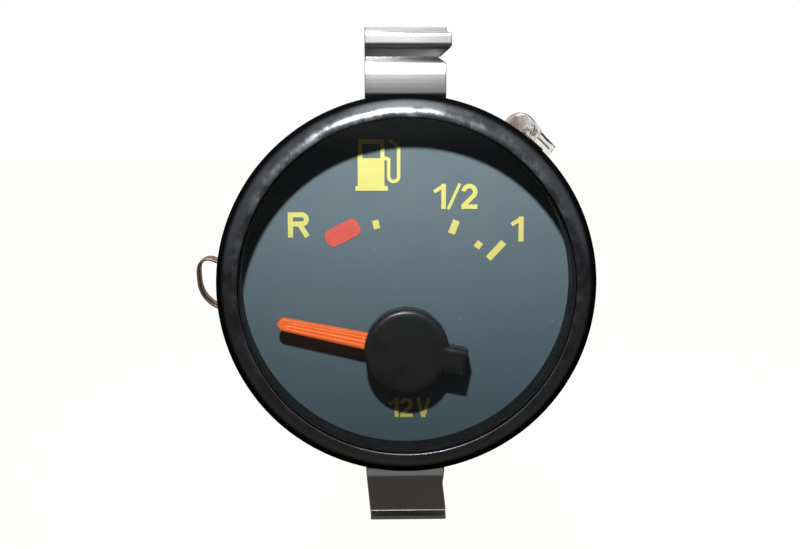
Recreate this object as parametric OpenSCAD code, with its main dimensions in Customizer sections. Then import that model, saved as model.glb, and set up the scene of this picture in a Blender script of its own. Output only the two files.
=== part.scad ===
// Panel-mounted fuel gauge, nominal 52 mm, with its rear clamp strap and side lamp.
// The face looks toward -Y, +Z is up, and the origin lies on the gauge's axis
// where the back of the bezel sits on the panel.

/* [Case] */
// Outside diameter of the case, which passes the panel hole
case_d = 51.6; // [46:0.1:62]
// Sheet thickness of the case wall
case_wall = 0.8; // [0.5:0.1:1.2]
// Depth of the case behind the panel
case_len = 36; // [34:0.5:50]
// Thickness of the case's rear plate
rear_t = 1.2; // [0.8:0.1:2]
// Radial width of the case's front flange
flange_w = 1.2; // [0.8:0.1:1.6]
// Thickness of the case's front flange
flange_t = 0.8; // [0.5:0.1:1.2]

/* [Bezel and lens] */
// How far the bezel reaches past the case wall
bezel_overhang = 2.2; // [2.1:0.1:4]
// Sheet thickness of the rolled bezel
bezel_sheet = 0.8; // [0.5:0.1:0.9]
// Radius of the bezel's front roll
bezel_roll = 2.9; // [2:0.1:3.4]
// Flat nose inside the roll
bezel_nose = 0.45; // [0.3:0.05:0.8]
// Thickness of the glass lens
lens_t = 1.5; // [1:0.1:2.5]
// Thickness of the rubber lens gasket
gasket_t = 0.8; // [0.5:0.1:1.5]
// Thickness of the visor's front rim
visor_rim_t = 1.8; // [1:0.1:3]
// Wall of the visor tube
visor_wall = 0.55; // [0.3:0.05:0.7]

/* [Dial] */
// Distance of the dial face behind the panel plane
dial_y = 3.5; // [2:0.1:5]
// Thickness of the dial plate
dial_t = 0.8; // [0.5:0.1:1.2]
// Drop of the pointer's pivot below the gauge's axis
pivot_drop = 9.7; // [9:0.1:10.6]
// Thickness of the printed marks
ink_t = 0.12; // [0.08:0.02:0.3]
// Height of the large printed characters
letter_h = 3.75; // [3:0.05:5]
// Line width of the large printed characters
letter_line = 0.75; // [0.5:0.05:1]
// Height of the voltage mark under the hub
volt_h = 3; // [2:0.1:3.6]
// Radius of the scale about the pivot
scale_r = 19.5; // [18:0.1:21]

/* [Pointer] */
// Length of the pointer from its pivot to its tip
pointer_len = 19.5; // [14:0.1:22]
// Width of the pointer at its root
pointer_root_w = 2.8; // [1.8:0.05:3.2]
// Width of the pointer at its tip
pointer_tip_w = 2; // [1.2:0.05:2.4]
// Thickness of the pointer blade
pointer_t = 1; // [0.6:0.1:1.4]
// Distance from the dial to the pointer's front face
pointer_lift = 4.8; // [4:0.1:5.2]
// Rest angle of the pointer above the horizontal
rest_rise = 12; // [6:1:20]
// Sweep of the pointer from rest to its full stop
sweep = 126; // [100:1:135]
// Diameter of the hub cap
hub_d = 12.6; // [10:0.1:14]
// Distance from the dial to the hub cap's face
hub_lift = 7.1; // [6:0.1:7.3]
// Wall of the hub cap
hub_wall = 0.9; // [0.7:0.1:1.2]
// Width of the hub cap's tail
tail_w = 4; // [2.4:0.1:5]
// Reach of the hub cap's tail from the pivot
tail_reach = 9; // [8:0.1:11]

/* [Movement] */
// Diameter of the pointer shaft
shaft_d = 1.5; // [1.2:0.05:1.8]
// Running clearance of the shaft in its bearings, on the radius
shaft_gap = 0.03; // [0.02:0.01:0.08]
// Thickness of the rotor magnet
rotor_t = 3; // [2:0.1:3.4]
// Thickness of the movement frame
frame_t = 2; // [1.8:0.1:2.4]
// Thickness of each coil's winding
coil_t = 1.6; // [1:0.1:1.8]
// Gap between the shield can and the case wall below it
shield_room = 2; // [1:0.1:2.4]
// Sheet thickness of the shield can
shield_t = 0.6; // [0.4:0.1:0.8]
// Diameter of the frame's pillars
pillar_d = 4.4; // [4:0.1:5]
// Diameter of the case screws
case_screw_d = 2.5; // [2:0.1:2.8]
// Thickness of the circuit board
board_t = 1.6; // [1:0.1:2]

/* [Terminals] */
// Thickness of the terminal board
terminal_board_t = 1.6; // [1:0.1:2.2]
// Width of a terminal blade
blade_w = 6.3; // [4:0.1:6.8]
// Thickness of a terminal blade
blade_t = 0.8; // [0.5:0.1:1]
// Length of a blade behind the case
blade_reach = 11; // [8:0.5:14]

/* [Clamp] */
// Width of the clamp strap
strap_w = 12.2; // [10:0.1:16]
// Sheet thickness of the clamp strap
strap_t = 0.8; // [0.6:0.1:1]
// Gap between the strap's legs and the case
strap_gap = 1.3; // [0.8:0.1:2]
// Distance from the panel plane to the strap's pads
pad_y = 1; // [0.8:0.1:3]
// Gap between the case's rear plate and the strap
strap_room = 3; // [2.6:0.1:6]
// How far the strap can be backed off
strap_travel = 6; // [3:0.5:8]
// Diameter of the clamp stud
stud_d = 4; // [3:0.1:5]
// Diameter of the thumb nut
nut_d = 10; // [8:0.1:12]
// Height of the thumb nut
nut_h = 6; // [4:0.1:8]
// Number of ribs round the thumb nut
nut_ribs = 24; // [12:1:32]
// Thickness of the lock washer
washer_t = 1; // [0.6:0.1:1.5]

/* [Lamp] */
// Angle of the lamp from the top, clockwise as seen from the front
lamp_angle = 42; // [38:1:60]
// Diameter of the lamp's glass envelope
bulb_d = 5; // [4:0.1:5.4]
// Length of the lamp, wedge base included
bulb_len = 10.5; // [10:0.1:13]
// Turn of the lamp away from the panel plane
bulb_turn = 40; // [30:1:50]
// Wall of the lamp's envelope
bulb_wall = 0.4; // [0.3:0.05:0.6]
// Depth of the lamp's middle behind the panel
lamp_y = 8.8; // [8.5:0.1:11]
// Sliding clearance between the lamp holder and its rail
rail_gap = 0.3; // [0.2:0.05:0.4]
// Distance round the case from the lamp to the rail of its holder
rail_step = 9.9; // [9.5:0.1:11.5]
// Width of the rail's head
rail_w = 5; // [4:0.1:6]
// Length of the rail
rail_len = 18; // [18:0.5:24]

/* [Earth strip] */
// Sheet thickness of the earthing strip
earth_t = 0.4; // [0.3:0.05:0.6]
// Width of the earthing strip
earth_w = 3.5; // [2:0.1:5]
// How far the strip's loop stands off the case
earth_reach = 6.35; // [4:0.05:9]

/* [Hidden] */
$fn = 96;

// Common clearances and overlaps
fit = 0.05;
play = 0.3;
eps = 0.01;

// Case and bezel
case_r = case_d / 2;
case_in = case_r - case_wall;
bezel_r = case_r + bezel_overhang;
stack_r = bezel_r - bezel_sheet - 0.2;
flange_r = case_r + flange_w;
flange_y = -bezel_sheet - flange_t;
rim_y = flange_y - visor_rim_t;
gasket_y = rim_y - gasket_t;
lens_y = gasket_y - lens_t;
crown_y = lens_y - bezel_sheet;
roll_y = crown_y + bezel_roll;
roll_r = bezel_r - bezel_roll;
lip_r = roll_r - bezel_nose;
visor_out = case_in - fit;
visor_in = visor_out - visor_wall;
corner = 0.8;
lens_chamfer = 0.6;

// Dial and pointer
pz = -pivot_drop;
dial_back = dial_y + dial_t;
dial_r = case_in - fit;
shaft_r = shaft_d / 2;
hub_r = hub_d / 2;
hub_y = dial_y - hub_lift;
hub_skirt = 4.6;
hub_chamfer = 0.3;
blade_y = dial_y - pointer_lift;
bush_r = 2;
shaft_front = hub_y + hub_wall + fit;
rest_turn = -(90 - rest_rise);
slot_room = 0.3;

// Movement, from the dial rearward
frame_back = dial_back + frame_t;
pocket_depth = 1.2;
arm_t = 0.6;
arm_r = 4.2;
arm_w = 1.4;
stop_gap = 0.15;
arm_y = dial_back + (pocket_depth - arm_t) / 2;
coil_gap = 0.1;
level_y = frame_back + 0.2;
upright_y = level_y + coil_t + coil_gap;
bobbin_y = upright_y + coil_t + coil_gap;
bobbin_wall = 1;
rotor_room = 0.9;
chamber = rotor_t + 2 * rotor_room;
chamber_y = bobbin_y + bobbin_wall;
rotor_y = chamber_y + rotor_room;
bobbin_mid = chamber_y + chamber / 2;
bobbin_back = chamber_y + chamber + bobbin_wall;
upright_back = bobbin_back + coil_gap + coil_t;
level_back = upright_back + coil_gap + coil_t;
shield_back = level_back + 0.3;
shield_r = case_in - pivot_drop - shield_t - shield_room;
rotor_r = 0.512 * shield_r;
chamber_r = rotor_r + 0.5;
bobbin_r = chamber_r + 1;
coil_in = bobbin_r + coil_gap;
coil_out = coil_in + coil_t;
half_gap = 0.213 * shield_r;
coil_w = 0.236 * shield_r;
boss_r = half_gap - 0.25;
bearing_r = shaft_r + 0.9;
bearing_l = 2.5;
bearing_y = dial_back + pocket_depth;
bearing_lip = 0.4;
post_w = 0.157 * shield_r;
post_at = half_gap + coil_w + 0.3 + post_w / 2;
shield_screw_r = 0.9;
shield_screw_angles = [-30, 90, 210];
pillar_r = pillar_d / 2;
pillar_at = case_in - pillar_r - 2;
pillar_angle = 26;
pillars = [for (a = [pillar_angle, 180 - pillar_angle, 180 + pillar_angle, -pillar_angle])
    [pillar_at * cos(a), pillar_at * sin(a)]];
board_y = shield_back + shield_t + 2;
board_back = board_y + board_t;
case_in_y = case_len - rear_t;
resistor_z = 14;
resistor_r = 2.1;
resistor_l = 11;
resistor_lead = 0.7;
screw_r = case_screw_d / 2;
screw_head_r = screw_r + 1.3;
screw_head_t = 1.4;

// Terminals
plate_x = 15.2;
plate_z = 7.5;
blade_x = 11;
blade_end = case_len + blade_reach;
rivet_at = [plate_x - 2.3, plate_z - 2];
rivet_r = 1.2;
earth_blade = [12.5, -16];

earth_tab = [1.6, 4];
blade_eye = 0.8;
blade_eye_at = 4;
rivet_head = [0.8, 0.7];

// Clamp
washer_w = 2;
washer_slit = 0.8;
leg_r = case_r + strap_gap + strap_t / 2;
strap_y = case_len + strap_room + strap_t / 2;
strap_back = strap_y + strap_t / 2;
washer_y = strap_back;
nut_y = washer_y + washer_t;
stud_end = nut_y + nut_h + strap_travel + 1.5;
stud_r = stud_d / 2;
stud_free = 0.2;
nut_gap = 0.05;
foot_x = strap_w / 2;
strap_bend = 2;
// Feet of the strap: steps outward and rearward from each leg's front end
foot_steps = [[0, 0], [1.4, 0], [2.7, 0.08], [3.9, 0.22], [5.1, 0.5], [6.2, 0.95], [7.6, -1.7],
    [9.3, -1.53], [10.1, -1.22]];
low_steps = [[0, 0], [2.2, 0], [3.15, -0.42], [8.9, -0.55], [9.6, -1.7]];
// Distances below the lower leg at which that foot's edges change direction
low_cuts = [2.4, 4.45, 8.25, 9.4];
foot_front = pad_y + strap_t / 2 + 1.7;

// Lamp, in a frame whose Z points outward at the lamp's angle
bulb_r = bulb_d / 2;
bulb_at = case_r + bulb_r + 0.4;
base_len = 4;
base_t = 2;
base_w = bulb_d - 0.8;
leg_at = 1.1;
wire_r = 0.2;
glass_len = bulb_len - base_len;
holder_top = case_r + 2.5;
holder_w = 9;
rail_y = lamp_y - 1;
rail_web = 2;
rail_web_h = 1;
rail_head_h = 0.8;
socket_wall = 1;
socket_lip = 0.6;
contact_t = 0.4;
contact_top = -0.5;
socket_w = base_t + 2 * contact_t + 2 * socket_wall;
rail_turn = rail_step / case_r * 180 / PI;
block_l = 8;
tab_y = lamp_y - 6.6;
tab_t = 1.2;
tab_from = -1.4;
tab_w = 3.5;
tab_top = case_r + 2.7;
arm_from = 4;
arm_across = 2.5;
arm_top = case_r + 1.9;
window_w = 8;
window_l = 6;

// Earthing strip
earth_y = frame_back + 1.2;
earth_from = -20;
earth_to = -13;

// Centreline of the strip in the X-Z plane, from its riveted end to its free end
earth_seat = case_r + fit + earth_t / 2;
earth_path = concat(
    [for (a = [earth_from:2.5:earth_to - 2.5]) [-earth_seat * cos(a), earth_seat * sin(a)]],
    eased([[-earth_seat * cos(earth_to), earth_seat * sin(earth_to)],
        [-(case_r + earth_reach * 0.6), -4.85],
        [-(case_r + earth_reach * 0.86), -3.3],
        [-(case_r + earth_reach * 0.97), -1.7],
        [-(case_r + earth_reach), 1],
        [-(case_r + earth_reach * 0.93), 2.3],
        [-(case_r + earth_reach * 0.72), 2.75],
        [-(case_r + earth_reach * 0.5), 2.1],
        [-(case_r + 0.7), 0.9]], 1.4));

// A ring or tube about the gauge's axis between two depths
module tube(r_out, r_in, y0, y1) {
    translate([0, y0, 0])
        rotate([-90, 0, 0])
            difference() {
                cylinder(r = r_out, h = y1 - y0);
                translate([0, 0, -1])
                    cylinder(r = r_in, h = y1 - y0 + 2);
            }
}

// A round bar along Y between two depths
module bar(r, y0, y1) {
    translate([0, y0, 0])
        rotate([-90, 0, 0])
            cylinder(r = r, h = y1 - y0);
}

// A solid turned about the gauge's axis from points of radius and depth
module turned(points) {
    rotate([-90, 0, 0])
        rotate_extrude()
            polygon(points);
}

// A drawing as seen from the front, made solid from a depth rearward
module slab(y0, t) {
    translate([0, y0 + t, 0])
        rotate([90, 0, 0])
            linear_extrude(height = t)
                children();
}

// Moves its children onto the pointer's pivot
module at_pivot() {
    translate([0, 0, pz])
        children();
}

// Turns its children with the pointer: they are drawn pointing straight up
module at_rest() {
    at_pivot()
        rotate([0, rest_turn, 0])
            children();
}

// Moves its children onto the lamp's place: Z outward, X along the rim
module at_lamp() {
    rotate([0, lamp_angle, 0])
        children();
}

// Moves its children onto the rail's place: Z outward, X along the rim
module at_rail() {
    rotate([0, lamp_angle + rail_turn, 0])
        children();
}

// Turns its children with the bulb: they are drawn along -X from the bulb's middle
module at_bulb() {
    at_lamp()
        translate([0, lamp_y, bulb_at])
            rotate([0, 0, bulb_turn])
                children();
}

// A flat line between two points, with square ends
module stroke(a, b, w) {
    d = b - a;
    translate(a)
        rotate(atan2(d.y, d.x))
            translate([0, -w / 2])
                square([norm(d), w]);
}

// Direction from one point to another, one millimetre long
function way(a, b) = (b - a) / norm(b - a);

// A path whose inner corners are arcs that start a reach away along both legs
function eased(path, reach) = concat(
    [path[0]],
    [for (i = [1:len(path) - 2])
        let (v = path[i],
            u = way(path[i - 1], v),
            w = way(v, path[i + 1]),
            cross = u.x * w.y - u.y * w.x,
            turn = atan2(abs(cross), u * w),
            back = min(reach, norm(path[i - 1] - v) / 2.1, norm(path[i + 1] - v) / 2.1),
            r = back / tan(turn / 2),
            inward = sign(cross) * [-u.y, u.x],
            centre = v - back * u + r * inward,
            steps = ceil(turn / 18))
        for (k = [0:steps])
            centre - r * cos(turn * k / steps) * inward + r * sin(turn * k / steps) * u],
    [path[len(path) - 1]]);

// A path's point moved sideways, square to the path where it runs straight
function beside(path, i, d) =
    let (last = len(path) - 1,
        u = i == 0 ? way(path[0], path[1]) : way(path[i - 1], path[i]),
        v = i == last ? u : way(path[i], path[i + 1]),
        m = way([0, 0], u + v))
    path[i] + [-m.y, m.x] * d / (m * u);

// A band of even width along a path, with square ends
module band(path, w) {
    last = len(path) - 1;
    polygon(concat([for (i = [0:last]) beside(path, i, w / 2)],
        [for (i = [last:-1:0]) beside(path, i, -w / 2)]));
}

// A flat bar about the middle, its corners eased from a reach away
module eased_bar(l, w, reach) {
    polygon(eased([[0, w / 2], [-l / 2, w / 2], [-l / 2, -w / 2], [l / 2, -w / 2], [l / 2, w / 2],
        [0.01, w / 2]], reach));
}

// Part of a flat ring between two angles less than 180 degrees apart
module arc_band(r, w, a0, a1) {
    far = 2 * (r + w);
    mid = (a0 + a1) / 2;
    intersection() {
        difference() {
            circle(r = r + w / 2, $fn = 48);
            circle(r = r - w / 2, $fn = 48);
        }
        polygon([[0, 0], [far * cos(a0), far * sin(a0)], [far * cos(mid), far * sin(mid)],
            [far * cos(a1), far * sin(a1)]]);
    }
}

// Figure one, from its lower left corner
module figure_one(h, w) {
    x = h * 0.38;
    translate([x - w / 2, 0])
        square([w, h]);
    stroke([0, h * 0.68], [x, h - w * 0.45], w * 0.8);
}

// Figure two, from its lower left corner
module figure_two(h, w) {
    r = h * 0.29 - w / 2 + 0.1;
    c = [r + w / 2, h - r - w / 2];
    translate(c) {
        arc_band(r, w, 20, 175);
        arc_band(r, w, -45, 30);
    }
    stroke(c + r * [cos(-45), sin(-45)] + [0.1, 0.1], [w * 0.45, w * 0.7], w);
    square([2 * r + w, w]);
}

// Letter R, from its lower left corner
module letter_r(h, w) {
    r = h * 0.28 - w / 2;
    flat = h - 2 * r;
    square([w, h]);
    translate([0, h - w])
        square([flat - r * 0.5, w]);
    translate([0, h - 2 * r - w])
        square([flat - r * 0.5, w]);
    translate([flat - r * 0.5, h - r - w / 2]) {
        arc_band(r, w, -90, 1);
        arc_band(r, w, 0, 90);
    }
    stroke([flat - r, h - 2 * r - w / 2], [flat + r * 0.7, 0.1], w);
}

// Letter V, from its lower left corner
module letter_v(h, w) {
    stroke([w / 2, h], [h * 0.38, 0], w);
    stroke([h * 0.76 - w / 2, h], [h * 0.38, 0], w);
}

// A tick of the scale at an angle clockwise from the top
module tick(angle, r_mid, l, w) {
    rotate(-angle)
        translate([-w / 2, r_mid - l / 2])
            square([w, l]);
}

// Filling pump, from its lower left corner
module pump_sign() {
    w = 3.95;
    h = 7.6;
    line = 0.52;
    bend = 0.74;
    hose = w + 0.62;
    far = hose + 2 * bend;
    low = 2.1;
    difference() {
        square([w, h]);
        translate([0.7, h - 2.8])
            square([w - 1.3, 2.1]);
    }
    translate([-0.35, 0])
        square([w + 0.85, 0.7]);
    stroke([w - 0.2, 4.9], [hose + 0.1, 4.6], line);
    stroke([hose, 4.8], [hose, low], line);
    translate([hose + bend, low]) {
        arc_band(bend, line, 180, 271);
        arc_band(bend, line, 269, 360);
    }
    stroke([far, low], [far, 6.4], line);
    stroke([far + 0.04, 6.3], [far - 1.3, 7.5], line);
}

// The same path mirrored below the axis, from its far end back
function below(path) = [for (i = [len(path) - 1:-1:0]) [path[i].x, -path[i].y]];

// Front view of the strap: plain legs, and feet with a nicked right edge
module strap_outline() {
    bend = leg_r + foot_steps[3].x;
    deep = leg_r + foot_steps[5].x;
    pad = leg_r + foot_steps[6].x;
    lip = leg_r + foot_steps[7].x;
    top = leg_r + foot_steps[8].x + strap_t;
    low_end = leg_r + low_steps[4].x + strap_t;
    cut = [for (c = low_cuts) leg_r + c];
    side = [[foot_x, bend], [foot_x, deep - 1.15], [foot_x - 1.25, deep - 0.3],
        [foot_x + 0.7, pad + 0.1], [foot_x + 0.7, lip], [foot_x - 0.1, lip + 0.3],
        [foot_x - 0.1, top]];
    low_side = [[foot_x, cut[0]], [foot_x - 0.3, cut[1]], [foot_x + 0.15, cut[2]],
        [foot_x + 0.15, low_end]];
    polygon(concat(below(low_side), side, [[-foot_x, top], [-foot_x, -cut[0]],
        [-foot_x + 0.7, -cut[3]], [-foot_x + 0.7, -low_end]]));
}

// Side view of the strap as a centreline of depth and height
module strap_profile() {
    upper = concat([[strap_y, leg_r]], [for (s = foot_steps) [foot_front + s.y, leg_r + s.x]]);
    lower = concat([[strap_y, leg_r]], [for (s = low_steps) [foot_front + s.y, leg_r + s.x]]);
    band(eased(concat(below(lower), upper), strap_bend), strap_t);
}

module bezel_ring() {
    steps = 9;
    in_roll = bezel_roll - bezel_sheet;
    color([0.03, 0.03, 0.05])
        turned(concat(
            [[case_r + fit, 0]],
            [for (i = [0:3]) let (a = 90 - 30 * i)
                [bezel_r - corner + corner * cos(a), -corner + corner * sin(a)]],
            [for (i = [0:steps]) let (a = -90 * i / steps)
                [roll_r + bezel_roll * cos(a), roll_y + bezel_roll * sin(a)]],
            [[lip_r + 0.2, crown_y + 0.1], [lip_r, crown_y + 0.35], [lip_r, lens_y]],
            [for (i = [0:steps]) let (a = -90 + 90 * i / steps)
                [roll_r + in_roll * cos(a), roll_y + in_roll * sin(a)]],
            [[bezel_r - bezel_sheet, -bezel_sheet], [case_r + fit, -bezel_sheet]]));
}

module glass_lens() {
    in_roll = bezel_roll - bezel_sheet;
    edge = roll_r + sqrt(pow(in_roll, 2) - pow(in_roll - lens_chamfer, 2)) - fit;
    color([0.85, 0.9, 0.92, 0.3])
        turned([[0, lens_y], [roll_r, lens_y], [edge, lens_y + lens_chamfer], [edge, gasket_y],
            [0, gasket_y]]);
}

module lens_gasket() {
    color([0.08, 0.08, 0.08])
        tube(stack_r, lip_r, gasket_y, rim_y);
}

module visor_ring() {
    color([0.04, 0.04, 0.06])
        turned([[visor_in, rim_y], [stack_r, rim_y], [stack_r, flange_y], [visor_out, flange_y],
            [visor_out, dial_y], [visor_in, dial_y]]);
}

// Outline of the light window and of its opening in the case wall
module window_block(extra) {
    at_lamp()
        translate([-window_w / 2 - extra, lamp_y - window_l / 2 - extra, case_in - 2])
            cube([window_w + 2 * extra, window_l + 2 * extra, 5]);
}

module case_shell() {
    color([0.12, 0.12, 0.13])
        difference() {
            turned([[case_in, flange_y], [flange_r, flange_y], [flange_r, -bezel_sheet],
                [case_r, -bezel_sheet], [case_r, case_len], [0, case_len], [0, case_in_y],
                [case_in, case_in_y]]);
            bar(stud_r + fit, case_in_y - 1, case_len + 1);
            window_block(fit);
            for (p = pillars)
                translate([p.x, 0, p.y])
                    bar(screw_r + 0.1, case_in_y - 1, case_len + 1);
            for (s = [-1, 1]) {
                translate([s * blade_x - 1.5, case_in_y - 1, -blade_w / 2 - 1])
                    cube([3, rear_t + 2, blade_w + 2]);
                translate([s * rivet_at.x, 0, s * rivet_at.y])
                    bar(rivet_r + fit, case_in_y - 1, case_len + 1);
            }
            earth_rivet_place()
                translate([0, 0, case_in - 2])
                    cylinder(r = 0.9 + fit, h = 5, $fn = 32);
        }
}

module lamp_window() {
    color([0.9, 0.92, 0.9, 0.5])
        intersection() {
            tube(case_r, case_in, 0, case_len / 2);
            window_block(0);
        }
}

module dial_plate() {
    color([0.36, 0.43, 0.48])
        difference() {
            bar(dial_r, dial_y, dial_back);
            at_pivot()
                bar(shaft_r + 1, dial_y - 1, dial_back + 1);
        }
}

module dial_print_yellow() {
    line = letter_line;
    k = letter_h / 4;
    p = scale_r / 19.5;
    color([0.92, 0.9, 0.45])
        translate([0, -ink_t, 0])
            at_pivot()
                slab(dial_y, ink_t) {
                    translate(p * [-17.53, 16.46])
                        letter_r(letter_h, line);
                    translate(p * [4.16, 20.65]) {
                        figure_one(letter_h, line * 0.9);
                        stroke([2.25 * k, -0.05], [4.1 * k, letter_h + 0.05], line * 0.6);
                        translate([4.35 * k, 0])
                            figure_two(letter_h, line * 0.9);
                    }
                    translate(p * [15.75, 15.76])
                        figure_one(letter_h, line);
                    translate(p * [-7.14, 23.4])
                        pump_sign();
                    translate([-0.85 * volt_h, -volt_h - hub_r - 1.7]) {
                        figure_one(volt_h, line * 0.8);
                        translate([0.55 * volt_h, 0])
                            figure_two(volt_h, line * 0.75);
                        translate([1.35 * volt_h, 0])
                            letter_v(volt_h, line * 0.8);
                    }
                    tick(-13.6, scale_r - 0.6, 1.3, 0.95);
                    tick(21.7, scale_r - 0.18, 2.1, 1.05);
                    tick(35.3, scale_r - 0.77, 1.05, 1);
                    tick(43, scale_r + 0.24, 3.4, 1);
                }
}

module dial_print_red() {
    p = scale_r / 19.5;
    color([0.85, 0.4, 0.36])
        translate([0, -ink_t, 0])
            at_pivot()
                slab(dial_y, ink_t)
                    translate(p * [-9.43, 17.12])
                        rotate(27)
                            eased_bar(5.4, 2.7, 1);
}

module pointer_blade() {
    groove = 0.35;
    color([1, 0.45, 0.2])
        at_rest()
            difference() {
                slab(blade_y, pointer_t)
                    difference() {
                        union() {
                            polygon([[-pointer_root_w / 2, 0], [pointer_root_w / 2, 0],
                                [pointer_tip_w / 2, pointer_len - pointer_tip_w / 2],
                                [-pointer_tip_w / 2, pointer_len - pointer_tip_w / 2]]);
                            translate([0, pointer_len - pointer_tip_w / 2])
                                circle(d = pointer_tip_w, $fn = 32);
                            circle(r = bush_r + 1.2);
                        }
                        circle(r = bush_r + eps);
                    }
                translate([-groove / 2, blade_y - 1, hub_r])
                    cube([groove, 1.25, pointer_len - hub_r - 1.4]);
            }
}

module pointer_hub_cap() {
    skirt_y = hub_y + hub_skirt;
    tail = tail_w / 2;
    color([0.09, 0.09, 0.1])
        at_rest()
            difference() {
                union() {
                    turned([[0, hub_y], [hub_r - hub_chamfer, hub_y], [hub_r, hub_y + hub_chamfer],
                        [hub_r, skirt_y], [0, skirt_y]]);
                    slab(hub_y, hub_chamfer)
                        translate([-tail + hub_chamfer, -tail_reach + hub_chamfer])
                            square([tail_w - 2 * hub_chamfer, tail_reach - 2]);
                    slab(hub_y + hub_chamfer, hub_skirt - hub_chamfer)
                        translate([-tail, -tail_reach])
                            square([tail_w, tail_reach - 2]);
                }
                difference() {
                    bar(hub_r - hub_wall, hub_y + hub_wall, skirt_y + 1);
                    tube(bush_r + 1, bush_r + fit, hub_y + hub_wall, blade_y - fit);
                }
                translate([-pointer_root_w / 2 - slot_room / 2, blade_y - fit, 0])
                    cube([pointer_root_w + slot_room, hub_skirt + 2, hub_r + 1]);
            }
}

module pointer_bush() {
    flange_at = blade_y + pointer_t;
    color([0.8, 0.65, 0.3])
        at_pivot()
            difference() {
                union() {
                    bar(bush_r, hub_y + hub_wall, flange_at);
                    bar(bush_r + 0.8, flange_at, flange_at + 0.8);
                }
                bar(shaft_r, shaft_front, flange_at + 2);
            }
}

module pointer_shaft() {
    color([0.8, 0.8, 0.82])
        at_pivot()
            bar(shaft_r, shaft_front, bobbin_back + 1.2);
}

module stop_arm() {
    color([0.75, 0.75, 0.78])
        at_rest()
            difference() {
                union() {
                    bar(shaft_r + 0.9, arm_y, arm_y + arm_t);
                    translate([-arm_w / 2, arm_y, 0])
                        cube([arm_w, arm_t, arm_r]);
                }
                bar(shaft_r, arm_y - 1, arm_y + arm_t + 1);
            }
}

module rotor_magnet() {
    color([0.2, 0.2, 0.22])
        at_pivot()
            tube(rotor_r, shaft_r, rotor_y, rotor_y + rotor_t);
}

// Recess in which the stop arm swings, ending a little past each of its limits
module stop_pocket() {
    reach = arm_r + play;
    from = rest_turn;
    to = rest_turn + sweep;
    far = 2 * reach;
    slab(dial_back - eps, pocket_depth + eps) {
        circle(r = shaft_r + 1.3);
        for (a = [from, to])
            rotate(-a)
                translate([-arm_w / 2 - stop_gap, 0])
                    square([arm_w + 2 * stop_gap, reach]);
        intersection() {
            circle(r = reach);
            polygon(concat([[0, 0]], [for (i = [0:6]) let (a = from + (to - from) * i / 6)
                far * [sin(a), cos(a)]]));
        }
    }
}

module movement_frame() {
    color([0.85, 0.84, 0.8])
        difference() {
            union() {
                bar(case_in - 0.1, dial_back, frame_back);
                for (p = pillars)
                    translate([p.x, 0, p.y])
                        bar(pillar_r, frame_back - eps, board_y);
            }
            at_pivot() {
                stop_pocket();
                bar(boss_r + fit, dial_back + pocket_depth - eps, frame_back + 1);
                for (a = shield_screw_angles)
                    shield_screw_place(a)
                        bar(shield_screw_r, dial_back + 0.4, frame_back + 1);
            }
            for (p = pillars)
                translate([p.x, 0, p.y])
                    bar(screw_r, board_y - 8, board_y + 1);
        }
}

module front_bearing() {
    color([0.8, 0.65, 0.3])
        at_pivot()
            tube(bearing_r, shaft_r + shaft_gap, bearing_y + bearing_lip,
                bearing_y + bearing_lip + bearing_l);
}

module rear_bearing() {
    color([0.8, 0.65, 0.3])
        at_pivot()
            difference() {
                bar(bearing_r, bobbin_back - 0.5, bobbin_back + 2);
                bar(shaft_r + shaft_gap, bobbin_back - 1, bobbin_back + 1.2 + fit);
            }
}

module bobbin_front() {
    color([0.9, 0.88, 0.8])
        at_pivot()
            difference() {
                union() {
                    bar(bobbin_r, bobbin_y, bobbin_mid);
                    bar(boss_r, bearing_y + 0.1, bobbin_y + eps);
                    for (x = [-1, 1], z = [-1, 1])
                        translate([x * post_at - post_w / 2, frame_back, z * post_at - post_w / 2])
                            cube([post_w, bobbin_y - frame_back + 1, post_w]);
                    bar(post_at * sqrt(2) + 0.6, bobbin_y, bobbin_y + 0.8);
                }
                bar(chamber_r, chamber_y, bobbin_mid + 1);
                bar(shaft_r + 0.3, dial_back, bobbin_mid);
                bar(bearing_r, bearing_y + bearing_lip, bearing_y + bearing_lip + bearing_l);
                coil_clear();
            }
}

module bobbin_rear() {
    color([0.9, 0.88, 0.8])
        at_pivot()
            difference() {
                union() {
                    bar(bobbin_r, bobbin_mid, bobbin_back);
                    bar(boss_r, bobbin_back - eps, shield_back);
                    for (x = [-1, 1], z = [-1, 1])
                        translate([x * post_at - post_w / 2, bobbin_back - 1, z * post_at - post_w / 2])
                            cube([post_w, shield_back - bobbin_back + 1, post_w]);
                    bar(post_at * sqrt(2) + 0.6, bobbin_back - 0.8, bobbin_back);
                }
                bar(chamber_r, bobbin_mid - 1, chamber_y + chamber);
                bar(bearing_r, bobbin_back - 0.5, bobbin_back + 2);
                bar(shaft_r + 0.3, bobbin_mid, bobbin_back);
                coil_clear();
            }
}

// One loop of winding: the frame of a box round the bobbin, drawn for the upright coil
module coil_loop(inner, outer, y_in0, y_in1, y_out0, y_out1) {
    for (s = [-1, 1])
        translate([s > 0 ? half_gap : -half_gap - coil_w, 0, 0])
            difference() {
                translate([0, y_out0, -outer])
                    cube([coil_w, y_out1 - y_out0, 2 * outer]);
                translate([-1, y_in0, -inner])
                    cube([coil_w + 2, y_in1 - y_in0, 2 * inner]);
            }
}

module upright_loops() {
    coil_loop(coil_in, coil_out, upright_y + coil_t, bobbin_back + coil_gap, upright_y,
        upright_back);
}

module level_loops() {
    rotate([0, 90, 0])
        coil_loop(coil_in, coil_out, level_y + coil_t, upright_back + coil_gap, level_y,
            level_back);
}

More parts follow.
